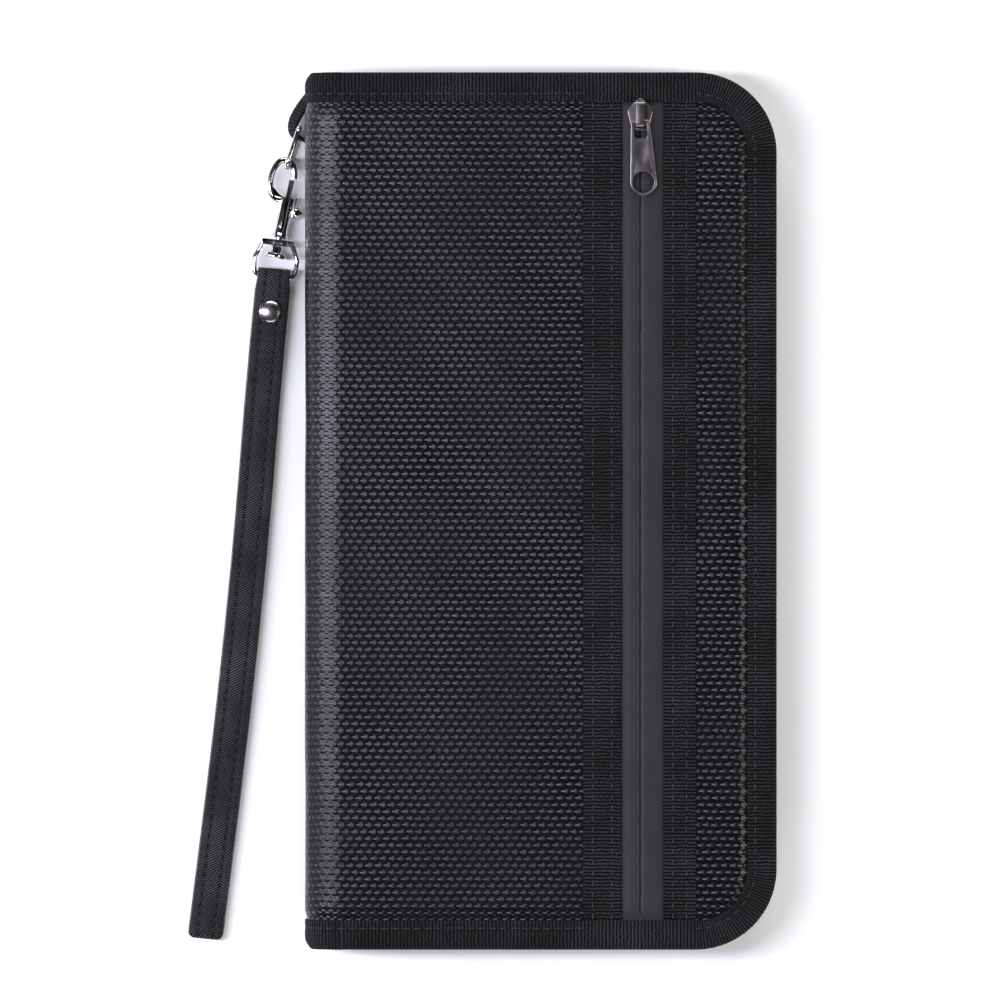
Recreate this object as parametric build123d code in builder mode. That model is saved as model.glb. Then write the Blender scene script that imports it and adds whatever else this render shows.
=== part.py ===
from build123d import *

import os
from math import asin, cos, degrees, radians, sin, sqrt

# Travel document wallet that closes with a zip round three sides, with a zip pocket in its
# front cover and a wrist strap on a bolt snap hook. It lies on its back cover: +X points to
# the side that opens, +Y to the top edge and +Z out of the front cover. The origin is the
# centre of the back cover's outer face. All sizes are in millimetres.

os.makedirs("parts", exist_ok=True)

# ---------------------------------------------------------------- driving dimensions
LENGTH = 260.0  # along Y
WIDTH = 140.0  # along X, spine to open side
THICKNESS = 22.0  # outer face to outer face
CORNER_R = 24.0  # the two corners of the open side

BINDING_W = 8.8  # grosgrain binding, outer leg
BINDING_INNER_W = 6.5  # its inner leg
BINDING_T = 0.7
FABRIC_T = 0.8  # coated outer fabric
PAD_T = 1.2
BOARD_T = 1.2
LINING_T = 0.5
BAG_T = 0.5
POCKET_DEPTH = 1.8  # room in the flat front pocket
FOLD_GAP = 1.0  # opening between the two halves of the spine shell
BOARD_SETBACK = 1.0  # boards and linings start this far from the fold line

# zips
TAPE_T = 0.6
COIL_T = 1.2
COIL_W = 2.0
CHAIN_GAP = 1.2  # between the two coils and the two tape edges
CLOSING_INSET = 7.5  # closing zip wall, in from the bound edge
POCKET_ZIP_X = 29.5
POCKET_TAPE_W = 11.7  # each half of the pocket zip tape
FACING_LEFT = (12.6, 24.0)
FACING_RIGHT = (36.3, 46.1)
FACING_T = 0.5

# zip slider and puller
SLIDER_L = 9.6
SLIDER_W = 7.4
SLIDER_TAIL_W = 5.2
SLIDER_PLATE_T = 0.9
SLIDER_GAP = 0.3  # between a plate and the tape or coil
BRIDGE_W = 2.5
BRIDGE_T = 0.8
PULLER_BAR_R = 0.6
PULLER_T = 1.2
PULLER_TOP_W = 5.6
PULLER_END_R = 4.0
PULLER_HOLE_R = 3.2
PULLER_HOLE_D = 17.9  # from the pivot to the hole
PULLER_ROUND = 0.3
PANEL_DEPTH = 0.3  # sunk panel on the puller's face
PANEL_TOP, PANEL_TOP_W = 6.1, 4.0
PANEL_RIM = 1.0
HOLE_RIM = 0.45
EYE_L, EYE_W, EYE_ROUND = 4.3, 4.1, 1.2  # opening that the bridge passes through
PULLER_TWIST = 3.2  # degrees that the pocket puller lies askew
PULLER_REST = 0.35  # height of its end above the tape
SLIDER_TOP_GAP = 3.8  # middle of the pocket slider, below the binding
SLIDER_END_GAP = 0.4  # closing slider to its end tab

# inner pockets
POCKET_SHEET_T = 0.6
CARD_SLOTS = 4
CARD_STEP = 13.0
CARD_SLOT_L = 62.0
CARD_SLOT_W = 92.0

# strap loop and D-ring
LOOP_T = 1.0
LOOP_W = 6.4
RING_WIRE_R = 0.8
RING_BAR_OUT = 1.6  # bar of the D-ring, out from the spine
RING_BAR_DOWN = 16.0  # and below the top edge
RING_DEPTH = 12.3  # bar to arch, centre to centre
RING_LEAN = 18.3  # degrees from -Y towards -X
RING_INNER_W = 8.0
RING_LOW_GAP = 0.2  # the ring's lowest point above the surface that it lies on
RING_CORNER_R = 2.0

# bolt snap hook, in a local frame: s across, u along the barrel from its lower end
HOOK_Z = 3.5
RING_S, RING_U = -2.2459, 20.9325  # where the ring hangs in the claw
HOOK_LEAN = 12.5  # degrees, upper end towards +X
BARREL_R = 2.0
BARREL_L = 12.2
SKIRT_R = 3.1
SKIRT_L = 3.2
BORE_R = 1.25
ROD_R = 0.9
FIT = 0.05  # radial clearance of the running fits
CLAW_S, CLAW_U = -2.83, 17.15
CLAW_HALF_W, CLAW_HALF_L = 3.45, 5.95
CLAW_END_R = 2.7
CLAW_WIRE_R = 1.0
BOLT_TRAVEL = 2.9
SPRING_SOLID = 1.1  # the spring's length when its coils meet
KNOB_U = 8.4
KNOB_R = 2.0
KNOB_NECK_W = 1.2
KNOB_NECK_ROOM = KNOB_NECK_W / 2 + 0.3  # from the knob's middle to an end of its slot

# swivel eye and wrist strap
EYE_LEAN = 7.1
EYE_BAR_DROP = 10.1  # cross bar to strap bar
EYE_WIRE_R = 0.75
EYE_TOP_W = 8.6
EYE_WIDE_W = 12.8
EYE_BAR_W = 12.0
STUD_R = 1.1
STUD_FLANGE_R = 3.3
STRAP_LEAN = 5.6
STRAP_W = 10.5
WRAP_W = 9.7  # the strap narrows where it wraps the eye
STRAP_T = 1.3
STRAP_L = 198.5  # strap bar to the far end of the fold
WRAP_CLEAR = 0.35
RIVET_R = 3.5
RIVET_AT = 10.5  # below the strap bar
RIVET_SHANK_R = 1.1
LIE_GAP = 0.1  # the strap's lowest point above the surface that it lies on

# ---------------------------------------------------------------- derived places
X_OPEN = WIDTH / 2
X_SPINE = -WIDTH / 2
Y_EDGE = LENGTH / 2
SPINE_R = THICKNESS / 2
RING_BAR_X = X_SPINE - RING_BAR_OUT
RING_BAR_Y = Y_EDGE - RING_BAR_DOWN
X_FOLD = X_SPINE + SPINE_R  # where the flat covers end and the spine begins to roll
Z_MID = THICKNESS / 2
BOUND_R = SPINE_R - BINDING_T  # outer radius of the fabric under the binding
SHELL_R = BOUND_R - FABRIC_T  # inner radius of the spine shell

Z_BACK_FABRIC = BINDING_T
Z_BACK_PAD = Z_BACK_FABRIC + FABRIC_T
Z_BACK_BOARD = Z_BACK_PAD + PAD_T
Z_BACK_LINING = Z_BACK_BOARD + BOARD_T
Z_BACK_FLANGE = Z_BACK_LINING + LINING_T
Z_BACK_LEG = Z_BACK_FLANGE + TAPE_T
Z_BACK_TOP = Z_BACK_LEG + BINDING_T

Z_FRONT = THICKNESS
Z_FRONT_EDGE = Z_FRONT - BINDING_T
Z_FRONT_FABRIC = Z_FRONT_EDGE - FABRIC_T
Z_BAG = Z_FRONT_FABRIC - POCKET_DEPTH
Z_FRONT_BOARD = Z_BAG - BAG_T
Z_FRONT_LINING = Z_FRONT_BOARD - BOARD_T
Z_FRONT_FLANGE = Z_FRONT_LINING - LINING_T
Z_FRONT_LEG = Z_FRONT_FLANGE - TAPE_T
Z_FRONT_LOW = Z_FRONT_LEG - BINDING_T

Z_ZIP = (Z_BACK_TOP + Z_FRONT_LOW) / 2  # middle of the closing zip
X_LAYERS = X_FOLD + BOARD_SETBACK
INNER_EDGE = CLOSING_INSET + TAPE_T  # inner face of the closing zip wall


def cover_outline(inset, x_start=X_FOLD):
    """Flat cover outline, set in from the bound edge, with a straight edge at x_start."""
    x_end = X_OPEN - inset
    with BuildSketch() as outline:
        with Locations(((x_start + x_end) / 2, 0)):
            Rectangle(x_end - x_start, 2 * (Y_EDGE - inset))
        fillet(outline.vertices().group_by(Axis.X)[-1], radius=CORNER_R - inset)
    return outline.sketch


def edge_band(outer, inner, x_start=X_FOLD):
    """Band round the three open sides, between two distances from the bound edge."""
    with BuildSketch() as band:
        add(cover_outline(outer, x_start))
        add(cover_outline(inner, x_start), mode=Mode.SUBTRACT)
    return band.sketch


def spine_arc(r_outer, r_inner, upper):
    """Quarter of the rolled spine in the XZ plane: the front cover's or the back cover's."""
    z_start = Z_MID if upper else 0
    z_end = THICKNESS if upper else Z_MID - FOLD_GAP
    with BuildSketch() as arc:
        with Locations((X_FOLD, Z_MID)):
            Circle(r_outer)
            Circle(r_inner, mode=Mode.SUBTRACT)
        with Locations((X_FOLD - SPINE_R, (z_start + z_end) / 2)):
            Rectangle(2 * SPINE_R, z_end - z_start, mode=Mode.INTERSECT)
    return arc.sketch


def front_side(y):
    """XZ plane at height y of the cover, facing -Y."""
    return Plane.XZ.offset(-y)


# ---------------------------------------------------------------- back cover and spine
Y_BOUND = Y_EDGE - BINDING_W  # inner edge of the binding
Y_INNER = Y_EDGE - BINDING_T  # edge of the layers inside the binding

with BuildPart() as back_fabric:
    with BuildSketch(Plane.XY.offset(Z_BACK_FABRIC)):
        add(cover_outline(BINDING_T))
    extrude(amount=FABRIC_T)
    with BuildSketch(Plane.XY):
        add(cover_outline(BINDING_W))
    extrude(amount=BINDING_T + FABRIC_T)
    with BuildSketch(Plane.XZ):
        add(spine_arc(BOUND_R, SHELL_R, upper=False))
    extrude(amount=Y_INNER, both=True)
    with BuildSketch(Plane.XZ):
        add(spine_arc(SPINE_R, SHELL_R, upper=False))
    extrude(amount=Y_BOUND, both=True)
back_fabric.part.label = "back_fabric"
export_step(back_fabric.part, "parts/back_fabric.step")

with BuildPart() as back_padding:
    with BuildSketch(Plane.XY.offset(Z_BACK_PAD)):
        add(cover_outline(BINDING_T, X_LAYERS))
    extrude(amount=PAD_T)
back_padding.part.label = "back_padding"
export_step(back_padding.part, "parts/back_padding.step")

with BuildPart() as back_board:
    with BuildSketch(Plane.XY.offset(Z_BACK_BOARD)):
        add(cover_outline(BINDING_T, X_LAYERS))
    extrude(amount=BOARD_T)
back_board.part.label = "back_board"
export_step(back_board.part, "parts/back_board.step")

with BuildPart() as back_lining:
    with BuildSketch(Plane.XY.offset(Z_BACK_LINING)):
        add(cover_outline(BINDING_T, X_LAYERS))
    extrude(amount=LINING_T)
back_lining.part.label = "back_lining"
export_step(back_lining.part, "parts/back_lining.step")

with BuildPart() as back_binding:
    with BuildSketch(Plane.XY):
        add(edge_band(0, BINDING_W))
    extrude(amount=BINDING_T)
    with BuildSketch(Plane.XY):
        add(edge_band(0, BINDING_T))
    extrude(amount=Z_BACK_TOP)
    with BuildSketch(Plane.XY.offset(Z_BACK_LEG)):
        add(edge_band(0, BINDING_INNER_W))
    extrude(amount=BINDING_T)
    for y_end in (-Y_BOUND, Y_EDGE):
        with BuildSketch(front_side(y_end)):
            add(spine_arc(SPINE_R, BOUND_R, upper=False))
        extrude(amount=BINDING_W)
    for y_end in (-Y_BOUND - BINDING_W + BINDING_INNER_W, Y_EDGE):
        with BuildSketch(front_side(y_end)):
            add(spine_arc(SHELL_R, SHELL_R - BINDING_T, upper=False))
        extrude(amount=BINDING_INNER_W)
    for y_end in (-Y_INNER, Y_EDGE):
        with BuildSketch(front_side(y_end)):
            add(spine_arc(SPINE_R, SHELL_R - BINDING_T, upper=False))
        extrude(amount=BINDING_T)
back_binding.part.label = "back_binding"
export_step(back_binding.part, "parts/back_binding.step")

# ---------------------------------------------------------------- front cover
X_TAPE_LEFT = POCKET_ZIP_X - CHAIN_GAP / 2 - POCKET_TAPE_W
X_TAPE_RIGHT = POCKET_ZIP_X + CHAIN_GAP / 2 + POCKET_TAPE_W
Z_TAPE = Z_FRONT - TAPE_T

with BuildPart() as front_fabric_main:
    with BuildSketch(Plane.XY.offset(Z_FRONT_FABRIC)):
        with Locations(((X_FOLD + X_TAPE_LEFT) / 2, 0)):
            Rectangle(X_TAPE_LEFT - X_FOLD, 2 * Y_INNER)
    extrude(amount=FABRIC_T)
    with BuildSketch(Plane.XY.offset(Z_FRONT_FABRIC)):
        with Locations(((X_FOLD + X_TAPE_LEFT) / 2, 0)):
            Rectangle(X_TAPE_LEFT - X_FOLD, 2 * Y_BOUND)
    extrude(amount=FABRIC_T + BINDING_T)
    with BuildSketch(Plane.XZ):
        add(spine_arc(BOUND_R, SHELL_R, upper=True))
    extrude(amount=Y_INNER, both=True)
    with BuildSketch(Plane.XZ):
        add(spine_arc(SPINE_R, SHELL_R, upper=True))
    extrude(amount=Y_BOUND, both=True)
front_fabric_main.part.label = "front_fabric_main"
export_step(front_fabric_main.part, "parts/front_fabric_main.step")

with BuildPart() as front_fabric_side:
    with BuildSketch(Plane.XY.offset(Z_FRONT_FABRIC)):
        add(cover_outline(BINDING_T, X_TAPE_RIGHT))
    extrude(amount=FABRIC_T)
    with BuildSketch(Plane.XY.offset(Z_FRONT_FABRIC)):
        add(cover_outline(BINDING_W, X_TAPE_RIGHT))
    extrude(amount=FABRIC_T + BINDING_T)
front_fabric_side.part.label = "front_fabric_side"
export_step(front_fabric_side.part, "parts/front_fabric_side.step")

with BuildPart() as front_padding:
    with BuildSketch(Plane.XY.offset(Z_BAG)):
        add(cover_outline(BINDING_T, X_LAYERS))
        add(cover_outline(BINDING_W, X_LAYERS + BINDING_W), mode=Mode.SUBTRACT)
    extrude(amount=POCKET_DEPTH)
front_padding.part.label = "front_padding"
export_step(front_padding.part, "parts/front_padding.step")

with BuildPart() as pocket_bag:
    with BuildSketch(Plane.XY.offset(Z_FRONT_BOARD)):
        add(cover_outline(BINDING_T, X_LAYERS))
    extrude(amount=BAG_T)
pocket_bag.part.label = "pocket_bag"
export_step(pocket_bag.part, "parts/pocket_bag.step")

with BuildPart() as front_board:
    with BuildSketch(Plane.XY.offset(Z_FRONT_LINING)):
        add(cover_outline(BINDING_T, X_LAYERS))
    extrude(amount=BOARD_T)
front_board.part.label = "front_board"
export_step(front_board.part, "parts/front_board.step")

with BuildPart() as front_lining:
    with BuildSketch(Plane.XY.offset(Z_FRONT_FLANGE)):
        add(cover_outline(BINDING_T, X_LAYERS))
    extrude(amount=LINING_T)
front_lining.part.label = "front_lining"
export_step(front_lining.part, "parts/front_lining.step")

with BuildPart() as front_binding:
    with BuildSketch(Plane.XY.offset(Z_FRONT_EDGE)):
        add(edge_band(0, BINDING_W))
    extrude(amount=BINDING_T)
    with BuildSketch(Plane.XY.offset(Z_FRONT_LOW)):
        add(edge_band(0, BINDING_T))
    extrude(amount=Z_FRONT - Z_FRONT_LOW)
    with BuildSketch(Plane.XY.offset(Z_FRONT_LOW)):
        add(edge_band(0, BINDING_INNER_W))
    extrude(amount=BINDING_T)
    for y_end in (-Y_BOUND, Y_EDGE):
        with BuildSketch(front_side(y_end)):
            add(spine_arc(SPINE_R, BOUND_R, upper=True))
        extrude(amount=BINDING_W)
    for y_end in (-Y_BOUND - BINDING_W + BINDING_INNER_W, Y_EDGE):
        with BuildSketch(front_side(y_end)):
            add(spine_arc(SHELL_R, SHELL_R - BINDING_T, upper=True))
        extrude(amount=BINDING_INNER_W)
    for y_end in (-Y_INNER, Y_EDGE):
        with BuildSketch(front_side(y_end)):
            add(spine_arc(SPINE_R, SHELL_R - BINDING_T, upper=True))
        extrude(amount=BINDING_T)
front_binding.part.label = "front_binding"
export_step(front_binding.part, "parts/front_binding.step")

# ---------------------------------------------------------------- pocket zip
for side, name in ((-1, "pocket_tape_left"), (1, "pocket_tape_right")):
    with BuildPart() as pocket_tape:
        with BuildSketch(Plane.XY.offset(Z_TAPE)):
            with Locations((POCKET_ZIP_X + side * (CHAIN_GAP + POCKET_TAPE_W) / 2, 0)):
                Rectangle(POCKET_TAPE_W, 2 * Y_BOUND)
        extrude(amount=TAPE_T)
    pocket_tape.part.label = name
    export_step(pocket_tape.part, f"parts/{name}.step")

with BuildPart() as pocket_coil:
    with BuildSketch(Plane.XY.offset(Z_TAPE - COIL_T)):
        for side in (-1, 1):
            with Locations((POCKET_ZIP_X + side * (CHAIN_GAP + COIL_W) / 2, 0)):
                Rectangle(COIL_W, 2 * Y_BOUND)
    extrude(amount=COIL_T)
pocket_coil.part.label = "pocket_coil"
export_step(pocket_coil.part, "parts/pocket_coil.step")

for (x_low, x_high), name in (
    (FACING_LEFT, "pocket_facing_left"),
    (FACING_RIGHT, "pocket_facing_right"),
):
    with BuildPart() as pocket_facing:
        with BuildSketch(Plane.XY.offset(Z_FRONT)):
            with Locations(((x_low + x_high) / 2, 0)):
                Rectangle(x_high - x_low, 2 * Y_BOUND)
        extrude(amount=FACING_T)
    pocket_facing.part.label = name
    export_step(pocket_facing.part, f"parts/{name}.step")

# ---------------------------------------------------------------- closing zip
# Each tape is a flange held in the binding and a wall that stands up to the chain. At its
# closed end, beside the spine, the front tape's last stretch stays with the back cover.
X_ZIP_END = X_FOLD - 0.2 + SLIDER_GAP  # the end tab's side of the chain
CLOSING_SLIDER_X = X_ZIP_END + SLIDER_L / 2 + SLIDER_END_GAP
X_TAIL_END = CLOSING_SLIDER_X + SLIDER_L / 2 + 0.9
X_FRONT_CHAIN = X_TAIL_END + 0.5
Z_CHAIN_LOW = Z_ZIP - CHAIN_GAP / 2
Z_CHAIN_HIGH = Z_ZIP + CHAIN_GAP / 2
TAIL_H = 2.8
TAB_L = 2.0
TAB_H = 4.2

with BuildPart() as closing_tape_back:
    with BuildSketch(Plane.XY.offset(Z_BACK_FLANGE)):
        add(edge_band(BINDING_T, INNER_EDGE, X_ZIP_END))
    extrude(amount=TAPE_T)
    with BuildSketch(Plane.XY.offset(Z_BACK_FLANGE)):
        add(edge_band(CLOSING_INSET, INNER_EDGE, X_ZIP_END))
    extrude(amount=Z_CHAIN_LOW - Z_BACK_FLANGE)
closing_tape_back.part.label = "closing_tape_back"
export_step(closing_tape_back.part, "parts/closing_tape_back.step")

with BuildPart() as closing_coil_back:
    with BuildSketch(Plane.XY.offset(Z_CHAIN_LOW - COIL_W)):
        add(edge_band(INNER_EDGE, INNER_EDGE + COIL_T, X_ZIP_END))
    extrude(amount=COIL_W)
closing_coil_back.part.label = "closing_coil_back"
export_step(closing_coil_back.part, "parts/closing_coil_back.step")

with BuildPart() as closing_tape_front:
    with BuildSketch(Plane.XY.offset(Z_FRONT_LEG)):
        add(edge_band(BINDING_T, INNER_EDGE, X_ZIP_END))
    extrude(amount=TAPE_T)
    with BuildSketch(Plane.XY.offset(Z_CHAIN_HIGH)):
        add(edge_band(CLOSING_INSET, INNER_EDGE, X_FRONT_CHAIN))
    extrude(amount=Z_FRONT_FLANGE - Z_CHAIN_HIGH)
closing_tape_front.part.label = "closing_tape_front"
export_step(closing_tape_front.part, "parts/closing_tape_front.step")

with BuildPart() as closing_coil_front:
    with BuildSketch(Plane.XY.offset(Z_CHAIN_HIGH)):
        add(edge_band(INNER_EDGE, INNER_EDGE + COIL_T, X_FRONT_CHAIN))
    extrude(amount=COIL_W)
closing_coil_front.part.label = "closing_coil_front"
export_step(closing_coil_front.part, "parts/closing_coil_front.step")

Y_WALL = -(Y_EDGE - CLOSING_INSET)  # outer face of the lower zip wall
X_TAIL_MID = (X_ZIP_END + X_TAIL_END) / 2
with BuildPart() as zip_tail:
    with BuildSketch(Plane.XY.offset(Z_CHAIN_HIGH)):
        with Locations((X_TAIL_MID, Y_WALL + TAPE_T / 2)):
            Rectangle(X_TAIL_END - X_ZIP_END, TAPE_T)
    extrude(amount=TAIL_H)
    with BuildSketch(Plane.XY.offset(Z_CHAIN_HIGH)):
        with Locations((X_TAIL_MID, Y_WALL + TAPE_T + COIL_T / 2)):
            Rectangle(X_TAIL_END - X_ZIP_END, COIL_T)
    extrude(amount=COIL_W)
zip_tail.part.label = "zip_tail"
export_step(zip_tail.part, "parts/zip_tail.step")

with BuildPart() as zip_end_tab:
    with BuildSketch(Plane.XY.offset(Z_ZIP - TAB_H / 2)):
        with Locations((X_ZIP_END - TAB_L / 2, Y_WALL + (TAPE_T + COIL_T) / 2)):
            Rectangle(TAB_L, TAPE_T + COIL_T + 2 * SLIDER_GAP)
    extrude(amount=TAB_H)
    fillet(zip_end_tab.edges().filter_by(Axis.Y).group_by(Axis.X)[0], radius=0.6)
zip_end_tab.part.label = "zip_end_tab"
export_step(zip_end_tab.part, "parts/zip_end_tab.step")

# ---------------------------------------------------------------- inner pockets
CONTENT_INSET = CLOSING_INSET + 3.6  # clear of the slider's inner plate
X_CONTENT = X_FOLD + 7.0
CONTENT_L = 2 * (Y_EDGE - CONTENT_INSET)
PASSPORT_L = (CONTENT_L - 12.0) / 2
DOCUMENT_TOP_GAP = 18.0  # the document pocket's mouth below the top of the lining

with BuildPart() as document_pocket:
    with BuildSketch(Plane.XY.offset(Z_BACK_FLANGE)):
        add(cover_outline(CONTENT_INSET, X_CONTENT))
        with Locations((0, Y_EDGE - CONTENT_INSET)):
            Rectangle(2 * WIDTH, 2 * DOCUMENT_TOP_GAP, mode=Mode.SUBTRACT)
    extrude(amount=POCKET_SHEET_T)
document_pocket.part.label = "document_pocket"
export_step(document_pocket.part, "parts/document_pocket.step")

PASSPORT_W = 96.0
X_PASSPORT = (X_CONTENT + X_OPEN - CONTENT_INSET) / 2
for y_low, name in (
    (-CONTENT_L / 2 + 3.0, "passport_pocket_lower"),
    (-CONTENT_L / 2 + PASSPORT_L + 6.0, "passport_pocket_upper"),
):
    with BuildPart() as passport_pocket:
        with BuildSketch(Plane.XY.offset(Z_BACK_FLANGE + POCKET_SHEET_T)) as pocket_front:
            with Locations((X_PASSPORT, y_low + (PASSPORT_L - DOCUMENT_TOP_GAP) / 2)):
                Rectangle(PASSPORT_W, PASSPORT_L - DOCUMENT_TOP_GAP)
            fillet(pocket_front.vertices(), radius=3.0)
        extrude(amount=POCKET_SHEET_T)
    passport_pocket.part.label = name
    export_step(passport_pocket.part, f"parts/{name}.step")

with BuildPart() as slip_pocket:
    with BuildSketch(Plane.XY.offset(Z_FRONT_FLANGE - POCKET_SHEET_T)):
        add(cover_outline(CONTENT_INSET, X_CONTENT))
    extrude(amount=POCKET_SHEET_T)
slip_pocket.part.label = "slip_pocket"
export_step(slip_pocket.part, "parts/slip_pocket.step")

Y_CARDS = -CONTENT_L / 2 + 4.0
for slot in range(CARD_SLOTS):
    slot_length = CARD_SLOT_L + CARD_STEP * (CARD_SLOTS - 1 - slot)
    name = f"card_slot_{slot + 1}"
    with BuildPart() as card_slot:
        z_slot = Z_FRONT_FLANGE - POCKET_SHEET_T * (slot + 2)
        with BuildSketch(Plane.XY.offset(z_slot)) as slot_front:
            with Locations((X_PASSPORT, Y_CARDS + slot_length / 2)):
                Rectangle(CARD_SLOT_W, slot_length)
            fillet(slot_front.vertices().group_by(Axis.Y)[0], radius=3.0)
        extrude(amount=POCKET_SHEET_T)
    card_slot.part.label = name
    export_step(card_slot.part, f"parts/{name}.step")

# ---------------------------------------------------------------- zip sliders
# A slider's own frame lies on the tape's outer face: x across the zip, y towards the closed
# end, z outwards. The top plate lies over the tape, the lower plate under the coils, and
# the neck joins them through the gap between the two coils.
PLATE_LOW = -TAPE_T - COIL_T - SLIDER_GAP - SLIDER_PLATE_T
SHOULDER_Y = 0.8
SHOULDER_R = 2.4
NOSE_R = 1.6
TAIL_CORNER_R = 0.5
LOWER_NOSE_Y = 3.4
TOP_OF_PLATE = SLIDER_GAP + SLIDER_PLATE_T
FLANGE_T = 0.75
PLATE_ROUND = 0.3
NECK_L, NECK_W = 2.0, 0.8
NECK_BACK = 1.1  # middle of the neck, behind the lower plate's nose
ARCH_END = 0.5  # arch of the bridge, in from the ends of the top plate
ARCH_LEG = 0.9
ARCH_AT = 0.1
ARCH_R = 1.7
ARCH_SINK = 0.2
PIVOT_UP = 1.0  # pivot above the top plate
PIVOT_Y = -2.2
BRIDGE_TOP = TOP_OF_PLATE + PIVOT_UP + PULLER_BAR_R + SLIDER_GAP + BRIDGE_T


def plate_outline(half_tail, nose_y):
    """Plan of a slider plate: a round nose, round shoulders and a narrower tail."""
    shoulder_x = SLIDER_W / 2 - SHOULDER_R
    tail_x = half_tail - TAIL_CORNER_R
    tail_y = TAIL_CORNER_R - SLIDER_L / 2
    with BuildSketch() as plan:
        with Locations((0, nose_y - NOSE_R)):
            Circle(NOSE_R)
        with Locations((shoulder_x, SHOULDER_Y), (-shoulder_x, SHOULDER_Y)):
            Circle(SHOULDER_R)
        with Locations((tail_x, tail_y), (-tail_x, tail_y)):
            Circle(TAIL_CORNER_R)
        make_hull()
    return plan.sketch


def slider_body(seat):
    """Slider body on its seat plane."""
    outwards = Axis(seat.origin, seat.z_dir)
    with BuildPart() as body:
        with BuildSketch(seat.offset(SLIDER_GAP)):
            add(plate_outline(SLIDER_TAIL_W / 2, SLIDER_L / 2))
        extrude(amount=SLIDER_PLATE_T)
        fillet(body.faces().sort_by(outwards)[-1].edges(), radius=PLATE_ROUND)
        with BuildSketch(seat.offset(PLATE_LOW)):
            add(plate_outline(SLIDER_W / 2, LOWER_NOSE_Y))
        extrude(amount=SLIDER_PLATE_T)
        flange_l = SHOULDER_Y + SLIDER_L / 2
        with BuildSketch(seat.offset(PLATE_LOW + SLIDER_PLATE_T)):
            with Locations(
                ((SLIDER_W - FLANGE_T) / 2, SHOULDER_Y - flange_l / 2),
                ((FLANGE_T - SLIDER_W) / 2, SHOULDER_Y - flange_l / 2),
            ):
                Rectangle(FLANGE_T, flange_l)
        extrude(amount=COIL_T)
        with BuildSketch(seat.offset(PLATE_LOW + SLIDER_PLATE_T / 2)):
            with Locations((0, LOWER_NOSE_Y - NECK_BACK)):
                SlotOverall(NECK_L, NECK_W, rotation=90)
        extrude(amount=TOP_OF_PLATE - PLATE_LOW - SLIDER_PLATE_T)
        across = Plane(seat.origin, x_dir=seat.y_dir, z_dir=seat.x_dir)
        with BuildSketch(across) as arch:
            with Locations((ARCH_AT, (TOP_OF_PLATE - ARCH_SINK + BRIDGE_TOP) / 2)):
                Rectangle(SLIDER_L - 2 * ARCH_END, BRIDGE_TOP - TOP_OF_PLATE + ARCH_SINK)
            fillet(arch.vertices().group_by(Axis.Y)[-1], radius=ARCH_R)
            opening_h = PIVOT_UP + PULLER_BAR_R + SLIDER_GAP
            opening_l = SLIDER_L - 2 * (ARCH_END + ARCH_LEG)
            with Locations((ARCH_AT, TOP_OF_PLATE + opening_h / 2)):
                RectangleRounded(opening_l, opening_h, opening_h / 3, mode=Mode.SUBTRACT)
        extrude(amount=BRIDGE_W / 2, both=True)
    return body.part


def puller_body(pivot):
    """Puller on a plane through its pivot, lying along that plane's -y."""
    outwards = Axis(pivot.origin, pivot.z_dir)
    with BuildPart() as body:
        with BuildSketch(pivot.offset(-PULLER_T / 2)):
            with BuildLine():
                Polyline(
                    (PULLER_TOP_W / 2, 0),
                    (PULLER_END_R, -PULLER_HOLE_D),
                    (-PULLER_END_R, -PULLER_HOLE_D),
                    (-PULLER_TOP_W / 2, 0),
                    close=True,
                )
            make_face()
            with Locations((0, -PULLER_HOLE_D)):
                Circle(PULLER_END_R)
        extrude(amount=PULLER_T)
        fillet(
            body.faces().sort_by(outwards)[-1].edges().group_by(SortBy.LENGTH)[-1], PULLER_ROUND
        )
        with BuildSketch(pivot.offset(PULLER_T / 2 - PANEL_DEPTH)):
            with BuildLine():
                Polyline(
                    (PANEL_TOP_W / 2, -PANEL_TOP),
                    (PULLER_END_R - PANEL_RIM, -PULLER_HOLE_D),
                    (PANEL_RIM - PULLER_END_R, -PULLER_HOLE_D),
                    (-PANEL_TOP_W / 2, -PANEL_TOP),
                    close=True,
                )
            make_face()
            with Locations((0, -PULLER_HOLE_D)):
                Circle(PULLER_HOLE_R + HOLE_RIM, mode=Mode.SUBTRACT)
        extrude(amount=PULLER_T, mode=Mode.SUBTRACT)
        with BuildSketch(pivot.offset(-PULLER_T)):
            with Locations((0, -PULLER_BAR_R - EYE_L / 2)):
                RectangleRounded(EYE_W, EYE_L, EYE_ROUND)
            with Locations((0, -PULLER_HOLE_D)):
                Circle(PULLER_HOLE_R)
        extrude(amount=2 * PULLER_T, mode=Mode.SUBTRACT)
        with BuildSketch(Plane(pivot.origin, x_dir=pivot.y_dir, z_dir=pivot.x_dir)):
            Circle(PULLER_BAR_R)
        extrude(amount=PULLER_TOP_W / 2, both=True)
    return body.part


def puller_plane(seat, twist):
    """Pivot plane above a slider's seat: turned by twist, its free end down by the tape."""
    lift = TOP_OF_PLATE + PIVOT_UP
    reach = PULLER_HOLE_D + PULLER_END_R
    droop = asin((lift - PULLER_T / 2 - PULLER_REST) / reach)
    bar = seat.x_dir * cos(radians(twist)) + seat.y_dir * sin(radians(twist))
    back = seat.y_dir * cos(radians(twist)) - seat.x_dir * sin(radians(twist))
    face = seat.z_dir * cos(droop) - back * sin(droop)
    return Plane(seat.origin + seat.y_dir * PIVOT_Y + seat.z_dir * lift, x_dir=bar, z_dir=face)


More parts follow.
